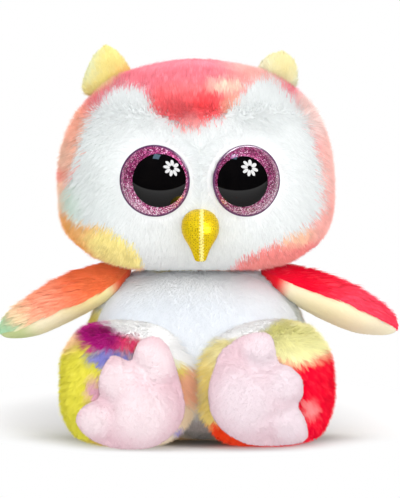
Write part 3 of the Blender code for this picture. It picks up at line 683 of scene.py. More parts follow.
def make_fibre_shade():
    """A fibre's colour: painted shade, deepest at its root and gone towards its tip, pale tips on some
    fibres, partly the dye's own and partly a painted highlight, and its own tone from fibre to fibre.
    """
    inputs = [
        ("Colour", "Color", None), ("Strand", "Vector", None), ("Painted Root Shade", "Float", 0.7),
        ("Variation", "Float", 0.16), ("Fleck", "Float", 0.2), ("Fleck Tint", "Color", (1, 1, 1, 1)),
    ]
    tree, given, out = new_group("fibre shade", inputs, [("Colour", "Color")])
    parts = add_node(tree, "SeparateXYZ", {0: given.outputs["Strand"]})
    along, own, tuft = parts.outputs
    red, green, blue = add_node(tree, "SeparateColor", {0: given.outputs["Colour"]}).outputs
    least = maths(tree, "MINIMUM", maths(tree, "MINIMUM", red, green), blue)
    white = ranged(tree, least, 0.93, 0.96, 0.0, 1.0)
    root = maths(tree, "MAXIMUM", given.outputs["Painted Root Shade"], white)
    # Painted shade: darker towards the fibre's root, as if shaded deep in the pile.
    depth = ranged(tree, along, 0.0, 0.75, root, 1.0, smooth=True)
    chance = maths(tree, "ADD", maths(tree, "MULTIPLY", own, 0.4), maths(tree, "MULTIPLY", tuft, 0.6))
    varied = maths(tree, "MULTIPLY", given.outputs["Variation"], maths(tree, "SUBTRACT", 1.0, white))
    change = maths(tree, "MULTIPLY", maths(tree, "SUBTRACT", chance, 0.5), varied)
    total = maths(tree, "MULTIPLY", depth, maths(tree, "ADD", change, 1.0))
    grey = add_node(tree, "CombineXYZ", {0: total, 1: total, 2: total}).outputs[0]
    shaded = mixed(tree, 1.0, given.outputs["Colour"], grey, "MULTIPLY")
    # Pale tips on some fibres: partly the dye's own, partly a painted highlight.
    pale = ranged(tree, chance, 0.62, 0.95, 0.0, 1.0, smooth=True)
    amount = maths(tree, "MULTIPLY", maths(tree, "MULTIPLY", pale, along), given.outputs["Fleck"])
    tree.links.new(mixed(tree, amount, shaded, given.outputs["Fleck Tint"]), out.inputs[0])
    return tree


DYE_AND_PAINTED_LIGHT_PATCH = make_dye_and_painted_light_patch()
WANDER = make_wander()
FIBRE_SHADE = make_fibre_shade()


def group_node(tree, group, inputs):
    made = tree.nodes.new("ShaderNodeGroup")
    made.node_tree = group
    for key, value in inputs.items():
        if isinstance(value, bpy.types.NodeSocket):
            tree.links.new(value, made.inputs[key])
        else:
            made.inputs[key].default_value = value
    return made.outputs[0]


def new_material(name, constants):
    """A material whose Principled shader has these plain values."""
    material = bpy.data.materials.new(name)
    material.use_nodes = True
    shader = material.node_tree.nodes["Principled BSDF"]
    for key, value in constants.items():
        shader.inputs[key].default_value = value
    return material, material.node_tree, shader


def fibre_dye(tint, escape):
    """The colour of one fibre in a pile that is seen in this tint, as light bounces between the fibres."""
    fibres = (min(value / (escape + (1 - escape) * value), 0.97) for value in seen(*tint)[:3])
    return (*fibres, 1.0)


def pile_finish(
    name, base, patches=(), wander=0.004, root=0.7, variation=0.2, fleck=0.2, sheen=0.12, escape=0.4
):
    """Dyed pile: a base colour, then (tint, centre, reach, softness) patches in the order laid, some of them
    dye and some painted light and shade; root sets how dark the painted shade is at the fibres' roots.
    """
    constants = {
        "Roughness": 0.92, "Specular IOR Level": 0.05, "Sheen Weight": sheen, "Sheen Roughness": 0.45
    }
    material, tree, shader = new_material(name, constants)
    spot = add_node(tree, "Attribute", attribute_name="root").outputs["Vector"]
    strand = add_node(tree, "Attribute", attribute_name="strand").outputs["Vector"]
    place = group_node(tree, WANDER, {"Place": spot, "Size": 95.0, "Amount": wander})
    colour = add_node(tree, "RGB").outputs[0]
    colour.default_value = fibre_dye(base, escape)
    for tint, centre, reach, softness in patches:
        inputs = {"Under": colour, "Place": place, "Centre": [value / 1000 for value in centre]}
        inputs |= {
            "Reach": [value / 1000 for value in reach], "Tint": fibre_dye(tint, escape),
            "Softness": softness
        }
        colour = group_node(tree, DYE_AND_PAINTED_LIGHT_PATCH, inputs)
    inputs = {"Colour": colour, "Strand": strand, "Painted Root Shade": root, "Variation": variation, "Fleck": fleck}
    shaded = group_node(tree, FIBRE_SHADE, inputs)
    tree.links.new(shaded, shader.inputs["Base Color"])
    return material


def eye_frame(head, side):
    """The eye's frame: origin on its seat, Z out of the face."""
    seat = Vector(head.front_point(side * EYE_SPREAD[side], head.centre[2] + EYE_RISE))
    turn = Matrix.Rotation(side * EYE_TOE_OUT[side], 4, "Z") @ Matrix.Rotation(math.pi / 2, 4, "X")
    place = Matrix.Translation(seat) @ turn @ Matrix.Translation((0, 0, -EYE_SINK[side]))
    return Matrix.Rotation(FACE_TURN, 4, "Z") @ place


def within(line, places):
    """True for places that lie inside the line, seen from the front."""
    x, z = places[:, 0], places[:, 2]
    inside = np.zeros(len(places), bool)
    for (ax, az), (bx, bz) in zip(line, np.roll(line, -1, 0)):
        if az == bz:
            continue
        crossing = (az > z) != (bz > z)
        inside ^= crossing & (x < (bx - ax) * (z - az) / (bz - az) + ax)
    return inside


HEAD = head_form()
TORSO = torso_form()
EYES = {name: eye_frame(HEAD, side) for name, side in SIDES.items()}
MASK = smooth_line(MASK_SEAM, 6) / 1000


def along_cloth(ways, normals):
    return unit(ways - normals * (ways * normals).sum(1, keepdims=True))


def head_comb(places, normals):
    """Down the face and outwards, aside round each eye, upright over the brow and back over the top."""
    ways = -UP + np.zeros_like(places)
    ahead = places[:, 1] < EAR_SEAM_Y
    aside = eased(np.abs(places[:, 0]), 0.022, 0.044) * (1 - eased(places[:, 2], 0.120, 0.136))
    ways[:, 1] = np.where(ahead, 0.0, 0.8)
    ways[:, 0] = places[:, 0] / HEAD_HALF_WIDTH * (0.45 + 0.6 * aside)
    for matrix in EYES.values():
        local = points_of(matrix.inverted(), places)
        radius = np.hypot(local[:, 0], local[:, 1])
        push = (1 - eased(radius, EYE_RADIUS, EYE_RADIUS * 1.7)) * 2.2 * ahead
        outward = np.stack(
            [local[:, 0], local[:, 1], np.zeros(len(local))], 1
        ) / np.maximum(radius, SMALL)[:, None]
        ways = ways + (outward @ np.array(matrix.to_3x3()).T) * push[:, None]
    turn = 1 - 2 * eased(normals[:, 2], 0.34, 0.80) * ahead
    return along_cloth(ways, normals) * turn[:, None]


def clear_of_eyes(places):
    """Moves points of the pile out of the eyes."""
    for matrix in EYES.values():
        local = points_of(matrix.inverted(), places)
        radius = np.hypot(local[:, 0], local[:, 1])
        room = EYE_RADIUS + EYE_CLEAR
        near = (radius < room) & (local[:, 2] > -EYE_DOME) & (local[:, 2] < EYE_DOME * 2)
        grow = np.where(near, room / np.maximum(radius, SMALL), 1.0)
        local[:, 0] *= grow
        local[:, 1] *= grow
        places = np.where(near[:, None], points_of(matrix, local), places)
    return places


def open_skin(places, room=EYE_CLEAR):
    """True where no eye covers the face."""
    clear = np.ones(len(places), bool)
    for matrix in EYES.values():
        local = points_of(matrix.inverted(), places)
        clear &= (np.hypot(local[:, 0], local[:, 1]) > EYE_RADIUS + room) | (local[:, 2] < -EYE_RADIUS)
    return clear


def lumps(places, centre, amount, size, seed):
    """Moves points in or out a little, as uneven stuffing does."""
    return places + unit(places - centre) * (ripple(places, size, seed) * amount)[:, None]


def form_skin(form, depth, seed, segments=160, rings=100, amount=0.0004, size=0.022):
    inner = form.inset(depth)
    return reshape(
        ball(segments, rings),
        lambda ways: lumps(inner.surface(unit(ways)), form.centre, amount, size, seed),
    )


def rooted_mesh(bm):
    """The cloth as a mesh for rooting pile."""
    mesh = bpy.data.meshes.new("cloth")
    bm.to_mesh(mesh)
    return mesh


def part_line(values, room=0.0016, least=0.35):
    """Shortens pile along a seam, by distance from it."""
    return least + (1 - least) * eased(np.abs(values), 0.0002, room)


def make_head():
    crown = pile_finish("crown pile", (240, 104, 118), CROWN_DYES, root=0.90, variation=0.32, fleck=0.14)
    nape = pile_finish("nape pile", (252, 134, 148), NAPE_DYES, root=0.96, variation=0.10, fleck=0.10)
    white = pile_finish(
        "mask pile", (216, 221, 221), MASK_DYES_AND_PAINTED_SHADE, wander=0.003, root=0.93, variation=0.07, fleck=0.10
    )
    skin = trim(form_skin(HEAD, 0.0013, 21), (0, 0, NECK_Z + 0.0004), (0, 0, -1))
    front = trim(skin.copy(), (0, EAR_SEAM_Y, 0), (0, 1, 0))
    keep_faces(front, lambda places: open_skin(places, -0.0018))
    face = keep_faces(front.copy(), lambda places: within(MASK, places))
    around = keep_faces(front.copy(), lambda places: ~within(MASK, places))
    whole = rooted_mesh(front)

    def ragged(places):
        """Places that stray a little, so that the dyed and the white pile mingle at the seam."""
        stray = np.stack(
            [ripple(places, 0.0030, 71), ripple(places, 0.0030, 72), ripple(places, 0.0030, 73)], 1
        )
        low = eased(-places[:, 0], 0.012, 0.026) * eased(-places[:, 2], -0.093, -0.083)
        shift = low[:, None] * MASK_SHIFT
        return places + stray * 0.0009 + np.random.default_rng(74).normal(size=places.shape) * 0.0011 + shift

    def on_mask(places):
        return within(MASK, ragged(places)) & open_skin(places)

    def off_mask(places):
        return ~within(MASK, ragged(places)) & open_skin(places)

    def cheek(places):
        """The pile is longer low on the cheeks."""
        low = eased(np.abs(places[:, 0]), 0.030, 0.047) * eased(-places[:, 2], -0.108, -0.084)
        chin = eased(-places[:, 2], -0.077, -0.069)
        return 1 + 0.5 * np.maximum(low, chin) + 0.3 * low * (places[:, 0] < 0)

    def side_long(places):
        """The left cheek's pile stands out further, and the pile under the chin is long."""
        cheek = eased(-places[:, 0], 0.040, 0.050) * eased(places[:, 2], 0.074, 0.084)
        return 1 + 0.3 * cheek + 0.5 * eased(-places[:, 2], -0.077, -0.069)

    grow_pile(
        "face_pile", whole, "mask", head_comb, white, "head", "white_pile", 31, on_mask, cheek,
        clear_of_eyes, 0.5, 0.3,
    )
    grow_pile(
        "crown_pile", whole, "crown", head_comb, crown, "head", "dyed_pile", 32, off_mask, side_long,
        clear_of_eyes, 0.6, 0.35,
    )
    add_panel("face_cloth", face, white, "head", ["face_panel"])
    add_panel("crown_cloth", around, crown, "head", ["crown_panel"])
    for name, side in SIDES.items():
        half = trim(trim(skin.copy(), (0, EAR_SEAM_Y, 0), (0, -1, 0)), (side * 0.0001, 0, 0), (-side, 0, 0))
        mesh = rooted_mesh(half)
        args = (
            "nape", head_comb, nape, "head", "dyed_pile", 33 + side, None,
            lambda places: part_line(places[:, 0]), None, 0.4, 0.35,
        )
        grow_pile("nape_pile_" + name, mesh, *args)
        add_panel("nape_cloth_" + name, half, nape, "head", ["head_back_" + name])
    skin.free()
    front.free()
    for name, side in SIDES.items():
        make_ear(name, side)
        make_eye(name, side)
    make_beak()


def make_ear(name, side):
    """A blunt tuft of two panels in the ear-to-ear seam."""
    spread, tall, lean = EARS[name]
    way = np.array([[spread * side, 0, HEAD_RISE * math.sqrt(1 - (spread / HEAD_HALF_WIDTH) ** 2)]])
    root = Vector(HEAD.surface(unit(way))[0])
    root.y = EAR_SEAM_Y
    tilt = Matrix.Rotation(side * lean, 4, "Y")
    stand = Matrix.Rotation(-math.pi / 2, 4, "Y") @ Matrix.Rotation(-math.pi / 2, 4, "X")
    lift = Matrix.Translation((0, 0, tall / 2 - EAR_ROOT_SINK))
    place = Matrix.Translation(root) @ tilt @ lift @ stand
    finish = pile_finish(
        "ear pile " + name, EAR_BASES[name], EAR_DYES[name], root=0.95, variation=0.10, fleck=0.10
    )
    line = leaf_line(EAR_WIDTH_SHARES[name], tall / 2, EAR_HALF_WIDTH)
    axis = np.array(place.to_3x3()) @ np.array([1.0, 0, 0])
    middle = np.array(place.translation)

    def comb(places, normals):
        """Up the ear, fanning a little towards its edges."""
        fan = (places - middle) * np.array([1, 0, 0]) / EAR_HALF_WIDTH * 0.35
        return along_cloth(axis + fan, normals)

    def lopsided(places):
        """The left ear's tip leans to the middle, and the right ear is narrow on its outer side."""
        out = np.clip(places[:, 0] / tall + 0.5, 0, 1)
        if side < 0:
            shift = EAR_TIP_SHIFT * out**1.5
        else:
            shift = np.maximum(places[:, 1], 0) * (-0.18 - 0.20 * (1 - out))
        return places + np.stack([out * 0, shift, out * 0], 1)

    for part, flip in (("front", 1), ("back", -1)):
        ear = reshape(cushion(line * (0.96, 0.84), EAR_DEPTH - 0.0008, EAR_DEPTH - 0.0008), lopsided)
        trim(ear, (0, 0, 0), (0, 0, -flip))
        bmesh.ops.transform(ear, verts=ear.verts, matrix=place)
        keep_faces(ear, lambda places: ~inside_form(HEAD.inset(0.0035), places))
        mesh = rooted_mesh(ear)
        pile_name = f"ear_{part}_pile_{name}"
        grow_pile(pile_name, mesh, "ear", comb, finish, "head", "dyed_pile", 41 + side * 2 + flip)
        add_panel(f"ear_{part}_cloth_{name}", ear, finish, "head", [f"ear_{part}_{name}"])


def inside_form(form, places):
    ways = places - form.centre
    return np.linalg.norm(ways, axis=1) < np.linalg.norm(form.surface(ways) - form.centre, axis=1)


def turned(profile, steps=96):
    """A profile of (radius, height) points, spun once round Z."""
    bm = bmesh.new()
    verts = [bm.verts.new((radius, 0, height)) for radius, height in profile]
    edges = [bm.edges.new(pair) for pair in zip(verts, verts[1:])]
    bmesh.ops.spin(
        bm, geom=verts + edges, axis=(0, 0, 1), cent=(0, 0, 0), steps=steps, angle=math.tau, use_merge=True
    )
    bmesh.ops.remove_doubles(bm, verts=bm.verts, dist=1e-6)
    bmesh.ops.recalc_face_normals(bm, faces=bm.faces)
    return bm


EYE_BALL = (EYE_RADIUS**2 + EYE_DOME**2) / (2 * EYE_DOME)


def dome_height(radius, proud=0.0):
    return EYE_DOME + proud - EYE_BALL + math.sqrt(EYE_BALL**2 - radius**2)


def make_eye(name, side):
    """A glitter ring under gloss, and the black pupil on the same dome, turned towards the beak."""
    matrix = EYES[name]
    profile = [
        (0, -EYE_BACK), (EYE_RADIUS - EYE_EDGE * 2, -EYE_BACK), (EYE_RADIUS - EYE_EDGE, 0),
        (EYE_RADIUS, EYE_EDGE),
    ]
    # The dome's edge is rounded over before it rises.
    profile += [
        (EYE_RADIUS - 0.00004, 0.00072), (EYE_RADIUS - 0.0002, 0.00092), (EYE_RADIUS - 0.00042, 0.00105)
    ]
    steps = 40
    start = EYE_RADIUS - 0.00068
    for index in range(steps + 1):
        radius = start * math.cos(math.pi / 2 * index / steps)
        profile.append((radius, dome_height(radius)))
    iris = turned(profile)
    bmesh.ops.transform(iris, verts=iris.verts, matrix=matrix)
    made = add_object(
        "eye_glitter_" + name, iris, glitter_finish(name, matrix, side), "head"
    )
    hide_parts("eye_iris_" + name)
    cap = [(0, EYE_DOME - PUPIL_WALL)]
    wide = PUPIL_RADIUS[side]
    low = dome_height(wide)
    cap += [(wide - 0.0004, low - 0.0006), (wide, low - 0.0003)]
    for index in range(29):
        radius = wide * math.cos(math.pi / 2 * index / 28)
        cap.append((radius, dome_height(radius, PUPIL_PROUD)))
    pupil = turned(cap)
    centre = Matrix.Translation((0, 0, EYE_DOME - EYE_BALL))
    # The frame's X points the way that the world's X does, so the nose lies on its -side.
    swing = Matrix.Rotation(-side * PUPIL_TURN[side], 4, "Y") @ Matrix.Rotation(-PUPIL_LIFT[name], 4, "X")
    bmesh.ops.transform(pupil, verts=pupil.verts, matrix=matrix @ centre @ swing @ centre.inverted())
    made = add_object("eye_black_" + name, pupil, BLACK, "head")
    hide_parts("eye_pupil_" + name)


def glitter_finish(name, matrix, side):
    """Magenta glitter: flakes with their own colour and tilt, under a clear gloss."""
    constants = {"Coat Weight": 1.0, "Coat Roughness": 0.03, "Coat IOR": 1.5, "Specular IOR Level": 0.5}
    material, tree, shader = new_material("eye glitter " + name, constants)
    spot = add_node(tree, "TexCoord").outputs["Object"]
    flakes = add_node(tree, "TexVoronoi", {"Vector": spot, "Scale": 3100.0, "Randomness": 1.0})
    parts = add_node(tree, "SeparateColor", {0: flakes.outputs["Color"]})
    chance, other, third = parts.outputs
    ramp = add_node(tree, "ValToRGB", {0: chance})
    # Painted shade: the right eye's glitter is painted darker.
    value = 1.0 if side < 0 else 0.78
    stops = [
        (0.0, seen(70, 8, 44, value)), (0.4, seen(118, 18, 74, value)), (0.7, seen(168, 40, 112, value)),
        (0.9, seen(214, 96, 164, value)), (1.0, seen(255, 226, 246, value)),
    ]
    while len(ramp.color_ramp.elements) < len(stops):
        ramp.color_ramp.elements.new(0.5)
    for element, (position, colour) in zip(ramp.color_ramp.elements, stops):
        element.position = position
        element.color = colour
    # A dark line runs round the ring, where the dome meets the cloth.
    away = add_node(tree, "VectorMath", {0: spot, 1: tuple(matrix.translation)}, operation="SUBTRACT")
    axis = tuple(matrix.to_3x3() @ Vector((0, 0, 1)))
    out = add_node(tree, "VectorMath", {0: away.outputs[0], 1: axis}, operation="CROSS_PRODUCT").outputs[0]
    radius = add_node(tree, "VectorMath", {0: out}, operation="LENGTH").outputs["Value"]
    rim = ranged(tree, radius, EYE_RADIUS - 0.0010, EYE_RADIUS - 0.0005, 0.0, 1.0, smooth=True)
    # Painted light: the flakes are painted brighter low on the ring.
    low = ranged(
        tree, add_node(tree, "SeparateXYZ", {0: away.outputs[0]}).outputs[2], -0.013, 0.004, 0.28, 0.0
    )
    tree.links.new(maths(tree, "ADD", chance, low), ramp.inputs[0])
    colour = mixed(tree, rim, ramp.outputs[0], seen(84, 28, 80))
    tree.links.new(colour, shader.inputs["Base Color"])
    shine = ranged(tree, other, 0.55, 0.9, 0.1, 0.75)
    dull = maths(tree, "SUBTRACT", 1.0, rim)
    tree.links.new(maths(tree, "MULTIPLY", shine, dull), shader.inputs["Metallic"])
    tree.links.new(ranged(tree, third, 0.0, 1.0, 0.22, 0.55), shader.inputs["Roughness"])
    bump = add_node(tree, "Bump", {"Height": chance, "Strength": 0.35, "Distance": 0.0002})
    tree.links.new(bump.outputs[0], shader.inputs["Normal"])
    return material


def beak_profile(places_down):
    count = len(BEAK_WIDTH_SHARES)
    fine = places_down * (count - 1)
    table = np.arange(count)
    return [
        np.interp(fine, table, shares) for shares in (
            BEAK_WIDTH_SHARES, BEAK_FRONT_SHARES, BEAK_BACK_SHARES
        )
    ]


def make_beak():
    """Two gold halves that meet in a raised seam down the middle."""
    top = HEAD.centre[2] - BEAK_DROP
    face = HEAD.front_point(0, top - BEAK_HEIGHT / 3)[1]

    def change(ways):
        # Down the beak from pole to pole, and round it.
        down = 0.5 - np.arcsin(np.clip(ways[:, 2], -1, 1)) / math.pi
        angles = np.arctan2(-ways[:, 1], ways[:, 0])
        width, front, back = beak_profile(np.clip(down, 0.0, 1.0))
        ends = np.sqrt(np.clip(1 - (np.clip(0.06 - down, 0, 1) / 0.06) ** 2, 0, 1))
        ends *= np.sqrt(np.clip(1 - (np.clip(down - 0.96, 0, 1) / 0.04) ** 2, 0, 1))
        half_depth = (front - back) / 2 * BEAK_REACH
        middle = face - (front + back) / 2 * BEAK_REACH
        x = width * BEAK_HALF_WIDTH * np.cos(angles) * ends
        y = middle - half_depth * np.sin(angles) * ends
        # The seam stands a little proud down the front.
        ridge = np.exp(-((x / BEAK_SEAM_WIDTH) ** 2)) * (np.sin(angles) > 0) * ends
        y -= ridge * BEAK_SEAM_PROUD
        return np.stack([x, y, top - down * BEAK_HEIGHT], 1)

    whole = reshape(ball(96, 72), change)
    for _ in range(3):
        bmesh.ops.smooth_vert(
            whole, verts=whole.verts, factor=0.5, use_axis_x=True, use_axis_y=True, use_axis_z=True
        )
    bmesh.ops.recalc_face_normals(whole, faces=whole.faces)
    for name, side in SIDES.items():
        half = trim(whole.copy(), (side * BEAK_GAP, 0, 0), (-side, 0, 0))
        edges = [edge for edge in half.edges if edge.is_boundary]
        bmesh.ops.holes_fill(half, edges=edges, sides=0)
        bmesh.ops.transform(half, verts=half.verts, matrix=Matrix.Rotation(FACE_TURN, 4, "Z"))
        made = add_object("beak_cloth_" + name, half, GOLD, "head")
        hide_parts("beak_" + name)
    whole.free()


def seat_clear(places):
    """Pile that lies under the owl is pressed flat on what it sits on."""
    places[:, 2] = np.maximum(places[:, 2], SEAT_CLEAR)
    return places


def body_comb(places, normals):
    ways = -UP + np.zeros_like(places)
    ways[:, 0] = places[:, 0] / TORSO_HALF_WIDTH * 0.3
    low = places[:, 2] < BASE_SEAM_Z
    outward = unit(places * np.array([1, 1, 0]))
    ways = np.where(low[:, None], outward, ways)
    return along_cloth(ways, normals)


def make_torso():
    white = pile_finish(
        "belly pile", (228, 234, 242), BELLY_DYES_AND_PAINTED_LIGHT, wander=0.003, root=0.97, variation=0.03, fleck=0.04
    )
    left = pile_finish(
        "flank pile left", (247, 216, 96), FLANK_DYES_AND_PAINTED_SHADE["left"], root=0.86, variation=0.16, fleck=0.15
    )
    right = pile_finish(
        "flank pile right", (246, 150, 130), FLANK_DYES_AND_PAINTED_SHADE["right"], root=0.86, variation=0.16, fleck=0.15
    )
    seat = pile_finish("seat pile", (236, 206, 150), SEAT_DYES_AND_PAINTED_SHADOW, variation=0.2, fleck=0.15)
    skin = trim(form_skin(TORSO, 0.0012, 22, 128, 96), (0, 0, NECK_Z - 0.0002), (0, 0, 1))
    upper = trim(skin.copy(), (0, 0, BASE_SEAM_Z), (0, 0, -1))

    def neck(places):
        """Parted at the side seams."""
        return part_line(places[:, 1] - SIDE_SEAM_Y, 0.0012, 0.5)

    belly = trim(upper.copy(), (0, SIDE_SEAM_Y, 0), (0, 1, 0))
    args = ("belly", body_comb, white, "torso", "white_pile", 51, None, neck, seat_clear)
    grow_pile("belly_pile", rooted_mesh(belly), *args)
    add_panel("belly_cloth", belly, white, "torso", ["belly_panel"])
    for name, side in SIDES.items():
        half = trim(
            trim(upper.copy(), (0, SIDE_SEAM_Y, 0), (0, -1, 0)), (side * 0.0001, 0, 0), (-side, 0, 0)
        )
        finish = left if side < 0 else right

        def seams(places):
            return neck(places) * part_line(places[:, 0])

        args = ("flank", body_comb, finish, "torso", "dyed_pile", 53 + side, None, seams, seat_clear)
        grow_pile("flank_pile_" + name, rooted_mesh(half), *args)
        add_panel("flank_cloth_" + name, half, finish, "torso", ["back_panel_" + name])
    low = trim(trim(skin.copy(), (0, 0, BASE_SEAM_Z), (0, 0, 1)), (0, 0, 0.0008), (0, 0, -1))
    edges = [
        edge for edge in low.edges if edge.is_boundary and all(vert.co.z < 0.001 for vert in edge.verts)
    ]
    bmesh.ops.holes_fill(low, edges=edges, sides=0)
    args = ("seat", body_comb, seat, "torso", "dyed_pile", 55, None, None, seat_clear)
    grow_pile("seat_pile", rooted_mesh(low), *args)
    add_panel("seat_cloth", low, seat, "torso", ["base_panel"], wall=0.0006)
    skin.free()
    upper.free()


def make_leg(name, side):
    """A round leg bag, open against the body, with its own dye patches."""
    form = leg_form(side)
    finish = pile_finish(
        "leg pile " + name, LEG_BASES[name], LEG_DYES[name], wander=0.0035, root=0.93, variation=0.18,
        fleck=0.05, sheen=0.03,
    )
    skin = form_skin(form, 0.0009, 61 + side, 96, 72, amount=0.0003, size=0.016)
    trim(skin, (0, 0, 0.0008), (0, 0, -1))
    edges = [edge for edge in skin.edges if edge.is_boundary]
    bmesh.ops.holes_fill(skin, edges=edges, sides=0)
    keep_faces(skin, lambda places: ~inside_form(TORSO.inset(0.001), places))

    def comb(places, normals):
        ways = -UP * 0.7 + np.zeros_like(places)
        ways[:, 0] = (places[:, 0] - form.centre[0]) / LEG_HALF_WIDTH * 0.8
        ways[:, 1] = -0.15
        low = places[:, 2] < 0.002
        outward = unit((places - form.centre) * np.array([1, 1, 0]))
        return along_cloth(np.where(low[:, None], outward, ways), normals)

    def outside_body(places):
        return ~inside_form(TORSO.inset(0.0002), places)

    def under_foot(places):
        """Short where the foot lies on the leg."""
        x, z = FOOT_MIDDLE[name]
        away = np.hypot(places[:, 0] - x, places[:, 2] - z)
        short = 1 - 0.5 * (1 - eased(away, 0.012, 0.019)) * (places[:, 1] < form.centre[1])
        for tint, centre, reach, _ in LEG_DYES[name]:
            if min(tint) > 250:
                out = np.linalg.norm((places * 1000 - centre) / reach, axis=1)
                short = short * (1 - 0.44 * (1 - eased(out, 0.85, 1.05)))
        inner = eased(-side * (places[:, 0] - form.centre[0]) / LEG_HALF_WIDTH, 0.55, 0.9)
        return short + 1.0 * inner * eased(places[:, 2], 0.008, 0.018)

    args = (
        "leg", comb, finish, "torso", "dyed_pile", 63 + side, outside_body, under_foot, seat_clear, 0.5,
        0.4,
    )
    grow_pile("leg_pile_" + name, rooted_mesh(skin), *args)
    add_panel("leg_cloth_" + name, skin, finish, "torso", ["leg_cover_" + name])
    make_foot(name, side, form)


def make_foot(name, side, leg):
    """A soft three-toed pad of two velour panels."""
    x, z = FOOT_MIDDLE[name]
    place = Matrix.Translation((x, FOOT_SOLE_Y, z)) @ Matrix.Rotation(math.pi / 2 - FOOT_LEAN, 4, "X")
    points = []
    for degrees, share in FOOT_SHARES[name]:
        angle = math.pi / 2 - side * math.radians(degrees)
        points.append((math.cos(angle) * HEEL_RADIUS * share, math.sin(angle) * HEEL_RADIUS * share))
    line = smooth_line(points, 8)
    swells = np.array(FOOT_SWELLS[name]) / 1000

    def toes(across, up):
        """A round swell for the heel and for each toe, with soft valleys between them."""
        total = np.zeros(len(across))
        for middle_x, middle_y, radius in swells:
            away = np.hypot(across - middle_x, up - middle_y) / radius
            total += np.sqrt(np.clip(1 - away**2, 0, 1)) ** 5
        height = 0.42 + 0.66 * total ** (1 / 5)
        for crease in FOOT_CREASES[name]:
            line = np.array(crease) / 1000
            best = np.zeros(len(across))
            for index, (start, end) in enumerate(zip(line, line[1:])):
                way = end - start
                spot = np.stack([across, up], 1) - start
                share = np.clip(spot @ way / (way @ way), 0, 1)
                away = np.linalg.norm(spot - share[:, None] * way, axis=1)
                depth = 1 - 0.75 * (index + share) / (len(line) - 1)
                best = np.maximum(best, depth * np.exp(-((away / 0.0021) ** 2)))
            height = height * (1 - 0.50 * best)
        return height

    finish = velour_finish(name)
    velour_gap = 0.00015
    for part, flip in (("sole", 1), ("upper", -1)):
        foot = cushion(
            line * 0.985, FOOT_SOLE_DEPTH - 0.0004, FOOT_UPPER_DEPTH - 0.0004, HEEL_RADIUS, sculpt=toes
        )
        trim(foot, (0, 0, flip * velour_gap), (0, 0, -flip))
        bmesh.ops.transform(foot, verts=foot.verts, matrix=place)
        if flip < 0:
            keep_faces(foot, lambda places: ~inside_form(leg.inset(0.0015), places))
        mesh = rooted_mesh(foot)

        def comb(places, normals):
            return along_cloth(-UP * 0.6 + unit(places - np.array(place.translation)) * 0.8, normals)

        args = (
            "velour", comb, finish, "torso", "pink_velour", 71 + side * 2 + flip, None, None, seat_clear
        )
        grow_pile(f"foot_{part}_pile_{name}", mesh, *args)
        add_panel(
            f"foot_{part}_cloth_{name}", foot, finish, "torso", [f"foot_{part}_{name}"]
        )


def velour_finish(name):
    """Pink velour with painted light, paler on the swell of the heel and of each toe, and painted shade, a
    deeper pink at its edges and in its creases.
    """
    x, z = FOOT_MIDDLE[name]
    # The base is the painted shade of the edges and creases, and pale the painted light on the swells.
    base, pale = (
        (214, 180, 189), (226, 209, 213)
    ) if name == "left" else ((214, 186, 194), (220, 205, 211))
    patches = []
    for across, up, radius in FOOT_SWELLS[name]:
        centre = (x * 1000 + across, FOOT_SOLE_Y * 1000, z * 1000 + up)
        patches.append((pale, centre, (radius * 0.72, radius * 2, radius * 0.72), 0.5))
    return pile_finish(
        "foot velour " + name, base, patches, wander=0.002, root=0.98, variation=0.02, fleck=0.02,
        escape=0.95,
    )


def wing_matrix(name, side):
    """The wing's frame at rest: X from the shoulder to the tip, Z out of its top."""
    _, drop, roll = WINGS[name]
    joint = next(joint for joint in frame["joints"] if joint["name"] == f"wing_{name}_flap")
    hinge = Matrix.Translation(joint["pos_m"]) @ Matrix.Rotation(side * drop, 4, "Y")
    face = Matrix.Rotation(math.pi if side < 0 else 0, 4, "Z") @ Matrix.Rotation(-roll, 4, "X")
    return hinge @ face


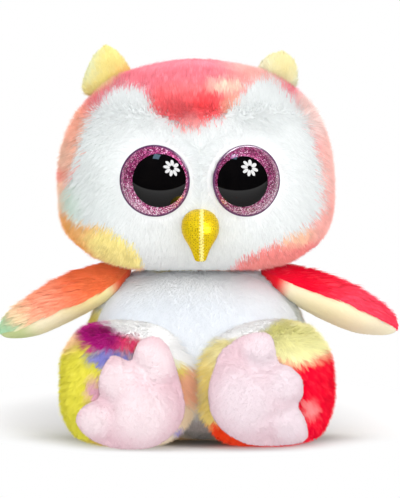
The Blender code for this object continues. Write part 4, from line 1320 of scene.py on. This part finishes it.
def make_wing(name, side):
    """Long pile over the top, smooth pile under it, on a thin cushion."""
    half_length = (WINGS[name][0] + WING_NOSE + WING_TUCK[name]) / 2
    root = wing_matrix(name, side)
    place = root @ Matrix.Translation((half_length - WING_NOSE - WING_TUCK[name], 0, 0))
    line = leaf_line(WING_CHORD_SHARES, half_length, WING_HALF_CHORD)
    axis = np.array(place.to_3x3()) @ np.array([1.0, 0, 0])
    body = "wing_" + name
    top_finish = pile_finish(
        "wing pile " + name, WING_BASES[name], wing_dyes(name, root), wander=0.005, variation=0.14,
        fleck=0.06, root=0.97, sheen=0.03,
    )
    under_finish = pile_finish(
        "wing velboa " + name, (244, 234, 202), under_dyes(name, root), wander=0.003, root=0.96,
        variation=0.03, fleck=0.04, escape=0.9,
    )
    inverse = place.inverted()

    def comb(places, normals):
        """Along the wing, fanning out a little towards its back edge."""
        local = points_of(inverse, places)
        back = local[:, 1] * side / WING_HALF_CHORD
        fan = np.zeros_like(places)
        fan[:, 1] = (0.10 + 0.22 * back) * side
        ways = axis + fan @ np.array(place.to_3x3()).T
        return along_cloth(ways, normals)

    def droop(places):
        """Hangs the front edge lower at the root."""
        front = eased(-places[:, 1] * side, -WING_HALF_CHORD * 0.3, WING_HALF_CHORD)
        inner = 1 - eased(places[:, 0], -half_length * 0.7, half_length * 0.4)
        tip = eased(places[:, 0], half_length * 0.45, half_length)
        return places + np.stack(
            [front * 0, front * 0, tip * WING_TIP_LIFT - front * inner * WING_DROOP], 1
        )

    def over_seam(places):
        """Keeps the long pile on its own side of the front seam."""
        local = points_of(inverse, places)
        low = -0.0008 - 0.004 * eased(local[:, 1] * side, 0, WING_HALF_CHORD)
        low = low + droop(local)[:, 2] - local[:, 2]
        local[:, 2] = np.maximum(local[:, 2], low)
        return points_of(place, local)

    def tip_short(places):
        local = points_of(inverse, places)
        least = 0.45 if side < 0 else 0.25
        return (least + (1 - least) * eased(local[:, 0], -half_length, -half_length * 0.2)) * (
            1 - 0.72 * eased(local[:, 0], half_length * 0.4, half_length)
        )

    for part, flip, kind, finish, slot in (
        ("top", 1, "wing", top_finish, "dyed_pile"),
        ("under", -1, "velboa", under_finish, "yellow_velboa"),
    ):
        under = WING_UNDER_DEPTH + 0.0018
        wing = cushion(line * 0.975, WING_TOP_DEPTH - 0.0002, under, spread=0.9, root_rise=1.0)
        trim(wing, (0, 0, 0), (0, 0, -flip))
        reshape(wing, droop)
        bmesh.ops.transform(wing, verts=wing.verts, matrix=place)
        mesh = rooted_mesh(wing)
        length_of = tip_short if flip > 0 else None
        seed = 81 + side * 2 + flip
        clear = over_seam if flip > 0 else None
        grow_pile(
            f"wing_{part}_pile_{name}", mesh, kind, comb, finish, body, slot, seed, None, length_of, clear
        )
        add_panel(
            f"wing_{part}_cloth_{name}", wing, finish, body, [f"wing_{part}_{name}"],
            wall=0.0007,
        )


# Each dye, or patch of painted light or shade, is a tint, centre, reach in millimetres and softness.

CROWN_DYES = [
    ((242, 150, 124), (-47, -8, 116), (15, 26, 13), 0.45),
    ((222, 160, 134), (-52, -4, 109), (8, 26, 8), 0.4),
    ((244, 178, 146), (-53, -4, 95), (8, 26, 10), 0.4),
    ((230, 138, 66), (-46, -12, 80), (18, 26, 10), 0.4),
    ((228, 118, 44), (-44, 0, 73), (12, 14, 7), 0.5),
    ((226, 152, 86), (-38, -22, 84), (9, 20, 6.5), 0.4),
    ((240, 212, 112), (-28, -26, 76), (15, 26, 10), 0.35),
    ((254, 110, 114), (-3, -30, 127), (15, 24, 9), 0.35),
    ((253, 92, 98), (-10, -34, 128), (9, 18, 6), 0.5),
    ((252, 72, 78), (4, -34, 129.5), (6, 18, 5), 0.6),
    ((250, 150, 148), (0, -38, 122), (8, 10, 2.4), 0.8),
    ((248, 206, 178), (12, -30, 135), (8, 12, 2.8), 0.5),
    ((251, 150, 128), (14, -34, 129), (5, 12, 4), 0.5),
    ((243, 152, 143), (25, -10, 140), (13, 22, 7), 0.6),
    ((252, 168, 158), (50, -6, 104), (12, 26, 26), 0.5),
    ((249, 200, 192), (42, -8, 124), (7, 22, 8), 0.5),
    ((251, 150, 140), (48, -8, 86), (12, 24, 10), 0.4),
    ((250, 112, 108), (32, -20, 71), (20, 24, 9), 0.4),
    ((252, 172, 136), (36, -24, 81), (7, 20, 4), 0.6),
    ((247, 190, 130), (-34, 2, 134), (6, 10, 6), 0.6),
    ((236, 112, 100), (-51, -8, 103.5), (3, 10, 2.5), 0.4),
]
NAPE_DYES = [
    ((250, 176, 128), (-44, 10, 112), (20, 26, 20), 0.4),
    ((248, 214, 120), (-34, 22, 78), (24, 26, 14), 0.35),
    ((214, 208, 84), (-8, 40, 92), (18, 14, 16), 0.35),
    ((250, 96, 104), (18, 34, 116), (20, 20, 16), 0.35),
    ((250, 160, 150), (48, 10, 100), (16, 26, 24), 0.45),
    ((176, 62, 128), (26, 34, 78), (14, 16, 9), 0.35),
    ((246, 110, 118), (34, 14, 72), (18, 26, 8), 0.4),
    ((250, 214, 172), (-6, 24, 136), (10, 12, 8), 0.5),
]
MASK_DYES_AND_PAINTED_SHADE = [
    # Painted shade: grey over the left cheek, on the side away from the light.
    ((198, 206, 204), (-42, -18, 94), (18, 22, 24), 0.7),
    ((180, 204, 186), (-49, -14, 90), (7, 14, 9), 0.6),
    ((236, 120, 108), (-50, -10, 103.5), (2.6, 8, 2.2), 0.5),
    ((214, 221, 221), (0, -40, 104), (10, 20, 12), 0.8),
    ((216, 220, 218), (-6, -40, 76), (24, 20, 12), 0.8),
]
EAR_BASES = {"left": (230, 210, 114), "right": (212, 214, 168)}
EAR_DYES = {
    "left": [
        ((240, 168, 84), (-26, 4, 134), (7, 12, 6), 0.5),
        ((200, 208, 158), (-44, 4, 146), (6, 12, 12), 0.6),
    ],
    "right": [
        ((212, 224, 190), (42, 4, 137), (6, 12, 10), 0.6), ((226, 212, 142), (34, 4, 144), (6, 12, 8), 0.6)
    ],
}
BELLY_DYES_AND_PAINTED_LIGHT = [
    # Painted shade: bluish grey low on the left of the belly.
    ((210, 220, 232), (-24, -30, 46), (18, 20, 18), 0.7),
    # Painted light: the top of the belly is painted whiter, against the head's shadow.
    ((250, 252, 255), (0, -30, 70), (46, 30, 14), 0.7),
    ((246, 226, 234), (25, -26, 64), (9, 16, 5), 0.7),
    # Painted shade: darker low on the middle of the belly.
    ((212, 219, 229), (0, -30, 44), (26, 24, 13), 0.7),
    # Painted shadow between the legs, low down.
    ((104, 96, 92), (0, -26, 3), (7, 20, 11), 0.5),
]
FLANK_DYES_AND_PAINTED_SHADE = {
    "left": [
        ((246, 120, 90), (-30, 14, 56), (18, 20, 12), 0.35),
        ((204, 200, 66), (-34, 22, 24), (20, 22, 16), 0.35),
        ((250, 150, 110), (-8, 38, 44), (14, 14, 14), 0.4),
        ((120, 120, 190), (-12, 38, 14), (12, 14, 8), 0.35),
        ((236, 241, 248), (-30, -8, 60), (18, 18, 16), 0.2),
        ((248, 222, 90), (-43, -6, 46), (6.5, 14, 12), 0.3),
    ],
    "right": [
        ((246, 40, 66), (30, 10, 60), (18, 20, 10), 0.35),
        ((250, 214, 110), (36, 20, 28), (18, 22, 16), 0.35),
        ((238, 60, 80), (10, 38, 30), (14, 16, 12), 0.4),
        ((170, 50, 120), (20, 32, 12), (14, 16, 7), 0.35),
        ((236, 241, 248), (30, -8, 60), (18, 18, 16), 0.2),
        # Painted shade: grey on the shaded right side of the belly.
        ((212, 218, 214), (42, -6, 46), (9, 14, 14), 0.4),
    ],
}
SEAT_DYES_AND_PAINTED_SHADOW = [
    # Painted shadow between the legs, under the belly.
    ((112, 104, 98), (0, -26, 2), (9, 20, 9), 0.5),
    ((240, 170, 110), (-16, 0, 2), (16, 18, 8), 0.5),
    ((250, 120, 100), (18, 8, 2), (16, 18, 8), 0.5),
]
LEG_BASES = {"left": (212, 200, 52), "right": (250, 4, 34)}
LEG_DYES = {
    "left": [
        ((246, 186, 130), (-46, -20, 43), (8, 18, 8), 0.4),
        ((160, 16, 104), (-33, -28, 43), (11.5, 20, 7.5), 0.18),
        ((214, 50, 90), (-25, -32, 40), (6, 14, 4), 0.5),
        ((104, 102, 180), (-32, -38, 35), (9, 12, 3.4), 0.3),
        ((206, 138, 158), (-37.5, -42, 22), (3.2, 8, 6), 0.6),
        ((248, 156, 118), (-4, -30, 24), (7, 26, 9), 0.3),
        ((246, 208, 164), (-5, -32, 11), (9, 26, 8), 0.3),
        ((246, 214, 176), (-16, -34, 2), (18, 26, 4), 0.3),
        ((118, 106, 184), (-6, -38, 5.5), (4.5, 12, 2.6), 0.4),
        ((190, 150, 60), (-37, -38, 2), (5, 12, 3), 0.4),
        ((252, 254, 255), (-15, -24, 69), (30, 60, 30), 0.05),
        ((252, 254, 255), (-6, -24, 45), (13, 30, 14), 0.12),
    ],
    "right": [
        ((255, 240, 156), (36, -28, 42), (15, 26, 10.5), 0.2),
        ((252, 228, 146), (12, -28, 34), (14, 26, 14), 0.3),
        ((255, 208, 104), (4, -36, 20), (8, 22, 16), 0.35),
        ((250, 234, 190), (1, -30, 22), (3, 26, 14), 0.4),
        ((236, 44, 14), (12, -36, 4), (13, 22, 6.5), 0.35),
        ((251, 112, 112), (42, -40, 16), (3, 8, 3.4), 0.5),
        ((252, 254, 255), (15, -22, 53), (17, 30, 14), 0.1),
    ],
}
WING_BASES = {"left": (244, 106, 76), "right": (252, 48, 68)}


def on_wing(root, along, across):
    """A place on the wing, in millimetres, from the distance out and the place across its chord."""
    return tuple(value * 1000 for value in root @ Vector((along / 1000, across / 1000, 0)))


def wing_dyes(name, root):
    if name == "left":
        return [
            ((254, 88, 48), on_wing(root, 2, 0), (15, 18, 11), 0.5),
            ((250, 132, 102), on_wing(root, 26, 0), (8, 22, 9), 0.6),
            ((226, 194, 142), on_wing(root, 36, 0), (7, 22, 9), 0.5),
            ((138, 190, 138), on_wing(root, 47, 0), (14, 22, 9), 0.4),
        ]
    return [
        ((253, 0, 30), on_wing(root, 3, 0), (15, 20, 10), 0.5),
        ((246, 40, 62), on_wing(root, 40, 0), (10, 20, 9), 0.7),
    ]


def under_dyes(name, root):
    if name == "left":
        return [
            ((244, 230, 160), on_wing(root, 12, 0), (14, 22, 9), 0.5),
            ((196, 208, 146), on_wing(root, 46, 0), (12, 22, 9), 0.5),
            ((250, 100, 60), on_wing(root, -9, 0), (9, 26, 14), 0.35),
        ]
    return [
        ((250, 236, 196), on_wing(root, 20, 0), (16, 22, 9), 0.6),
        ((251, 20, 44), on_wing(root, -10, 0), (9, 26, 14), 0.35),
    ]


def black_finish():
    """Polished black with a few faint scuffs."""
    constants = {"Coat Weight": 1.0, "Coat Roughness": 0.02, "Coat IOR": 1.5, "Specular IOR Level": 0.0}
    material, tree, shader = new_material("eye black", constants)
    spot = add_node(tree, "TexCoord").outputs["Object"]
    haze = add_node(tree, "TexNoise", {"Vector": spot, "Scale": 260.0, "Detail": 4.0}).outputs[0]
    tree.links.new(mixed(tree, haze, seen(4, 4, 6), seen(14, 12, 12)), shader.inputs["Base Color"])
    tree.links.new(ranged(tree, haze, 0.3, 0.7, 0.03, 0.08), shader.inputs["Roughness"])
    return material


def gold_finish():
    """Metallic yellow cloth with fine raised dots and a bright zigzag down the seam."""
    constants = {"Specular IOR Level": 0.2}
    material, tree, shader = new_material("gold cloth", constants)
    spot = add_node(tree, "TexCoord").outputs["Object"]
    dots = add_node(tree, "TexVoronoi", {"Vector": spot, "Scale": 1500.0, "Randomness": 0.45})
    dot = ranged(tree, dots.outputs["Distance"], 0.22, 0.44, 0.0, 1.0, smooth=True)
    noise = add_node(tree, "TexNoise", {"Vector": spot, "Scale": 300.0, "Detail": 2.0}).outputs[0]
    gold = mixed(tree, noise, seen(226, 192, 10), seen(240, 212, 24))
    gold = mixed(tree, dot, seen(158, 124, 6), gold)
    parts = add_node(tree, "SeparateXYZ", {0: spot})
    zig = maths(tree, "PINGPONG", parts.outputs[2], 0.0006)
    shift = maths(tree, "SUBTRACT", zig, 0.0003 + 0.0017)
    off = maths(tree, "ABSOLUTE", maths(tree, "ADD", parts.outputs[0], shift))
    line = ranged(tree, off, 0.0006, 0.0009, 1.0, 0.0, smooth=True)
    stitch = maths(tree, "MULTIPLY", line, maths(tree, "ADD", maths(tree, "MULTIPLY", dot, 0.7), 0.3))
    colour = mixed(tree, stitch, gold, seen(252, 238, 140))
    tree.links.new(colour, shader.inputs["Base Color"])
    tree.links.new(ranged(tree, stitch, 0.0, 1.0, 0.4, 0.1), shader.inputs["Metallic"])
    tree.links.new(ranged(tree, dot, 0.0, 1.0, 0.55, 0.34), shader.inputs["Roughness"])
    height = maths(tree, "ADD", dot, maths(tree, "MULTIPLY", stitch, 2.0))
    bump = add_node(tree, "Bump", {"Height": height, "Strength": 0.6, "Distance": 0.00012})
    tree.links.new(bump.outputs[0], shader.inputs["Normal"])
    return material


def fibre_finish():
    """Loose white fibre filling."""
    material, tree, shader = new_material("fibre filling", {"Sheen Weight": 0.3, "Roughness": 0.95})
    spot = add_node(tree, "TexCoord").outputs["Object"]
    curls = add_node(
        tree, "TexNoise", {"Vector": spot, "Scale": 420.0, "Detail": 6.0, "Distortion": 2.5}
    ).outputs[0]
    tree.links.new(
        mixed(tree, curls, seen(226, 226, 222), seen(250, 250, 248)), shader.inputs["Base Color"]
    )
    bump = add_node(tree, "Bump", {"Height": curls, "Strength": 0.8, "Distance": 0.0008})
    tree.links.new(bump.outputs[0], shader.inputs["Normal"])
    return material


def woven_finish():
    """Plain cloth of the pellet pouch, with the pellets pressing through."""
    material, tree, shader = new_material("pouch cloth", {"Roughness": 0.9, "Sheen Weight": 0.15})
    spot = add_node(tree, "TexCoord").outputs["Object"]
    weave = add_node(tree, "TexChecker", {"Vector": spot, "Scale": 2600.0}).outputs[1]
    pellets = add_node(tree, "TexVoronoi", {"Vector": spot, "Scale": 330.0}).outputs["Distance"]
    tree.links.new(
        mixed(tree, weave, seen(188, 187, 182), seen(212, 211, 206)), shader.inputs["Base Color"]
    )
    height = maths(tree, "SUBTRACT", maths(tree, "MULTIPLY", weave, 0.1), pellets)
    bump = add_node(tree, "Bump", {"Height": height, "Strength": 0.6, "Distance": 0.001})
    tree.links.new(bump.outputs[0], shader.inputs["Normal"])
    return material


def washer_finish():
    """Moulded white plastic with a faint grain."""
    material, tree, shader = new_material("washer plastic", {"Specular IOR Level": 0.45})
    spot = add_node(tree, "TexCoord").outputs["Object"]
    grain = add_node(tree, "TexNoise", {"Vector": spot, "Scale": 1400.0, "Detail": 3.0}).outputs[0]
    tree.links.new(
        mixed(tree, grain, seen(222, 222, 218), seen(236, 236, 232)), shader.inputs["Base Color"]
    )
    tree.links.new(ranged(tree, grain, 0.3, 0.7, 0.34, 0.48), shader.inputs["Roughness"])
    bump = add_node(tree, "Bump", {"Height": grain, "Strength": 0.15, "Distance": 0.0001})
    tree.links.new(bump.outputs[0], shader.inputs["Normal"])
    return material


def dress_hidden():
    """Finishes for the pieces inside, which keep their own shape."""
    fibre = fibre_finish()
    pouch = woven_finish()
    washer = washer_finish()
    for name, node in frame["nodes"].items():
        if "stuffing" in name:
            chosen = fibre
        elif name == "bean_pouch":
            chosen = pouch
        elif "washer" in name:
            chosen = washer
        else:
            continue
        node.data.materials.clear()
        node.data.materials.append(chosen)


def add_lamp(name, place, aim, size, watts, colour=(1, 1, 1)):
    """A soft square lamp that lights but isn't mirrored in the eyes."""
    light = bpy.data.lights.new(name, "AREA")
    light.size = size
    light.energy = watts
    light.color = colour
    made = bpy.data.objects.new(name, light)
    made.location = place
    made.rotation_euler = (Vector(aim) - Vector(place)).to_track_quat("-Z", "Y").to_euler()
    bpy.context.scene.collection.objects.link(made)
    made.visible_glossy = False
    made.visible_camera = False
    return made


def way_to(yaw, pitch):
    """The direction at so many degrees to the right of straight ahead of the face, and up."""
    turn, lift = math.radians(yaw), math.radians(pitch)
    return Vector((math.sin(turn) * math.cos(lift), -math.cos(turn) * math.cos(lift), math.sin(lift)))


def glow(name, strength, colour=(1, 1, 1, 1)):
    material = bpy.data.materials.new(name)
    material.use_nodes = True
    tree = material.node_tree
    tree.nodes.clear()
    light = add_node(tree, "Emission", {"Color": colour, "Strength": strength})
    add_node(tree, "OutputMaterial", {"Surface": light.outputs[0]})
    return material


def mirrored_only(made):
    made.visible_camera = False
    made.visible_diffuse = False
    made.visible_shadow = False
    made.visible_transmission = False


def add_petal_lamp():
    """The umbrella lamp whose ring of panels shows in the eyes."""
    way = way_to(38, 33)
    distance = 0.9
    middle = Vector((0, -0.04, HEAD_MIDDLE_Z)) + way * distance
    bm = bmesh.new()
    for index in range(8):
        angle = math.tau * (index + 0.5) / 8
        petal = bmesh.ops.create_circle(bm, cap_ends=True, segments=20, radius=1)["verts"]
        shape = Matrix.Rotation(angle, 4, "Z") @ Matrix.Translation((0.235, 0, 0)) @ Matrix.Diagonal(
            (0.145, 0.074, 1, 1)
        )
        bmesh.ops.transform(bm, verts=petal, matrix=shape)
    turn = (-way).to_track_quat("-Z", "Y").to_matrix().to_4x4()
    bmesh.ops.transform(bm, verts=bm.verts, matrix=Matrix.Translation(middle) @ turn)
    mesh = bpy.data.meshes.new("petal_lamp")
    bm.to_mesh(mesh)
    bm.free()
    made = bpy.data.objects.new("petal_lamp", mesh)
    bpy.context.scene.collection.objects.link(made)
    mesh.materials.append(glow("petal lamp glow", 22.0))
    mirrored_only(made)


def add_window():
    """A cool window, high up, that shows as a small patch in the eyes."""
    way = way_to(-22, 68)
    middle = Vector((0, -0.04, HEAD_MIDDLE_Z)) + way
    bm = bmesh.new()
    bmesh.ops.create_grid(bm, x_segments=1, y_segments=1, size=0.13)
    turn = (-way).to_track_quat("-Z", "Y").to_matrix().to_4x4()
    bmesh.ops.transform(bm, verts=bm.verts, matrix=Matrix.Translation(middle) @ turn)
    mesh = bpy.data.meshes.new("window_patch")
    bm.to_mesh(mesh)
    bm.free()
    made = bpy.data.objects.new("window_patch", mesh)
    bpy.context.scene.collection.objects.link(made)
    mesh.materials.append(glow("window glow", 5.0, (0.45, 0.75, 1.0, 1)))
    mirrored_only(made)


def add_floor():
    """A pale floor that keeps the owl's shadow, with painted shadow laid round and under the owl, and runs
    out to plain white.
    """
    bm = bmesh.new()
    bmesh.ops.create_grid(bm, x_segments=2, y_segments=2, size=6)
    mesh = bpy.data.meshes.new("floor")
    bm.to_mesh(mesh)
    bm.free()
    made = bpy.data.objects.new("floor", mesh)
    bpy.context.scene.collection.objects.link(made)
    material = bpy.data.materials.new("pale floor")
    material.use_nodes = True
    tree = material.node_tree
    tree.nodes.clear()
    spot = add_node(tree, "TexCoord").outputs["Object"]

    def spread(centre, reach, near, edge):
        """1 near this centre on the floor, and 0 past an ellipse round it."""
        away = add_node(tree, "VectorMath", {0: spot, 1: (*centre, 0.0)}, operation="SUBTRACT")
        shares = add_node(tree, "VectorMath", {0: away.outputs[0], 1: (*reach, 1.0)}, operation="DIVIDE")
        size = add_node(tree, "VectorMath", {0: shares.outputs[0]}, operation="LENGTH").outputs["Value"]
        return ranged(tree, size, near, edge, 1.0, 0.0, smooth=True)

    far = maths(tree, "SUBTRACT", 1.0, spread((0.0, 0.105), (0.098, 0.180), 0.70, 1.01))
    # Painted shadow: a wide soft one round and behind the owl, and a darker one under it.
    wide = spread((-0.010, 0.080), (0.082, 0.160), 0.35, 1.25)
    painted_contact_shadow = spread((0.006, 0.004), (0.056, 0.036), 0.45, 1.15)
    ahead = add_node(tree, "SeparateXYZ", {0: spot}).outputs[1]
    edge = ranged(tree, ahead, -0.25, -0.22, 0.0, 1.0, smooth=True)
    lit = maths(tree, "MULTIPLY", edge, ranged(tree, ahead, -0.24, -0.08, 0.75, 0.3))
    path = add_node(tree, "LightPath")
    dark = maths(tree, "MULTIPLY", maths(tree, "SUBTRACT", 1.0, lit), path.outputs["Is Glossy Ray"])
    seen_ray = maths(tree, "MAXIMUM", path.outputs["Is Camera Ray"], path.outputs["Is Transmission Ray"])
    white = add_node(tree, "Emission", {"Color": (1, 1, 1, 1), "Strength": 1.0})
    # These darken the floor's colour with the painted shadow.
    soft = maths(tree, "SUBTRACT", 1.0, maths(tree, "MULTIPLY", wide, 0.31))
    dim = maths(tree, "SUBTRACT", 1.0, maths(tree, "MULTIPLY", painted_contact_shadow, 0.55))
    grey = maths(tree, "MULTIPLY", maths(tree, "MULTIPLY", soft, dim), 0.88)
    paper = add_node(
        tree, "BsdfDiffuse",
        {"Color": add_node(tree, "CombineXYZ", {0: grey, 1: grey, 2: grey}).outputs[0]},
    )
    # It lights the owl from below evenly, as a wide pale table does, but less where the owl shades it.
    shaded = maths(tree, "SUBTRACT", 1.0, maths(tree, "MULTIPLY", painted_contact_shadow, 0.8))
    even = add_node(
        tree, "Emission", {"Color": (1, 1, 1, 1), "Strength": maths(tree, "MULTIPLY", shaded, FLOOR_LIGHT)}
    )
    cloth = add_node(
        tree, "MixShader", {0: path.outputs["Is Diffuse Ray"], 1: paper.outputs[0], 2: even.outputs[0]}
    )
    mix = add_node(
        tree, "MixShader",
        {0: maths(tree, "MULTIPLY", far, seen_ray), 1: cloth.outputs[0], 2: white.outputs[0]},
    )
    black = add_node(tree, "Emission", {"Color": (0, 0, 0, 1), "Strength": 0.0})
    mix = add_node(tree, "MixShader", {0: dark, 1: mix.outputs[0], 2: black.outputs[0]})
    add_node(tree, "OutputMaterial", {"Surface": mix.outputs[0]})
    mesh.materials.append(material)


def add_world():
    """White behind and below for the camera and for reflections, dark in front, and an even soft light."""
    world = bpy.data.worlds.new("studio")
    bpy.context.scene.world = world
    world.use_nodes = True
    tree = world.node_tree
    tree.nodes.clear()
    path = add_node(tree, "LightPath")
    way = add_node(tree, "TexCoord").outputs["Generated"]
    parts = add_node(tree, "SeparateXYZ", {0: way})
    behind = ranged(tree, parts.outputs[1], 0.6, 0.98, 0.0, 1.0, smooth=True)
    mirrored = maths(tree, "MULTIPLY", maths(tree, "MULTIPLY", behind, 0.4), path.outputs["Is Glossy Ray"])
    shown = maths(tree, "MAXIMUM", path.outputs["Is Camera Ray"], path.outputs["Is Transmission Ray"])
    shown = maths(tree, "MAXIMUM", shown, mirrored)
    soft = maths(tree, "SUBTRACT", 1.0, path.outputs["Is Glossy Ray"])
    even = maths(tree, "MULTIPLY", soft, AMBIENT)
    strength = maths(tree, "MAXIMUM", shown, even)
    light = add_node(tree, "Background", {"Color": (1, 1, 1, 1), "Strength": strength})
    add_node(tree, "OutputWorld", {"Surface": light.outputs[0]})


def add_camera():
    data = bpy.data.cameras.new("camera")
    made = bpy.data.objects.new("camera", data)
    bpy.context.scene.collection.objects.link(made)
    target = Vector(CAMERA_AIM)
    back = Matrix.Rotation(-CAMERA_LIFT, 4, "X") @ Vector((0, -CAMERA_DISTANCE, 0))
    made.location = target + back
    made.rotation_euler = (math.pi / 2 - CAMERA_LIFT, 0, 0)
    data.sensor_fit = "VERTICAL"
    data.sensor_height = 24
    data.lens = data.sensor_height * CAMERA_DISTANCE / CAMERA_SPAN
    bpy.context.scene.camera = made


AMBIENT = 0.74
FLOOR_LIGHT = 0.85
CAMERA_DISTANCE = 4.0
CAMERA_SPAN = 0.189  # height of the picture at the face
CAMERA_LIFT = math.radians(4.2)
CAMERA_AIM = (0.0011, -0.010, 0.0735)

BLACK = black_finish()
GOLD = gold_finish()

make_torso()
for foot_side, foot_sign in SIDES.items():
    make_leg(foot_side, foot_sign)
    make_wing(foot_side, foot_sign)
make_head()
dress_hidden()

add_floor()
add_world()
add_petal_lamp()
add_window()
add_lamp("key", (0.45, -0.75, 0.62), (0, 0, 0.07), 0.55, 2.1, (1.0, 0.99, 0.97))
add_lamp("fill", (-0.55, -0.70, 0.52), (0, 0, 0.07), 0.6, 1.2, (0.97, 0.98, 1.0))
add_lamp("top", (0, -0.05, 0.95), (0, 0, 0.05), 0.7, 4.2)
add_lamp("front", (0.05, -1.10, 0.33), (0, 0, 0.06), 0.6, 1.0)
add_lamp("low front", (0.0, -0.90, 0.11), (0, 0, 0.05), 0.24, 2.8)
add_lamp("right side", (0.85, -0.10, 0.24), (0, 0, 0.09), 0.4, 0.7)
add_lamp("left side", (-0.85, -0.10, 0.24), (0, 0, 0.09), 0.4, 0.35)
add_camera()
bpy.context.scene.view_settings.view_transform = "Standard"
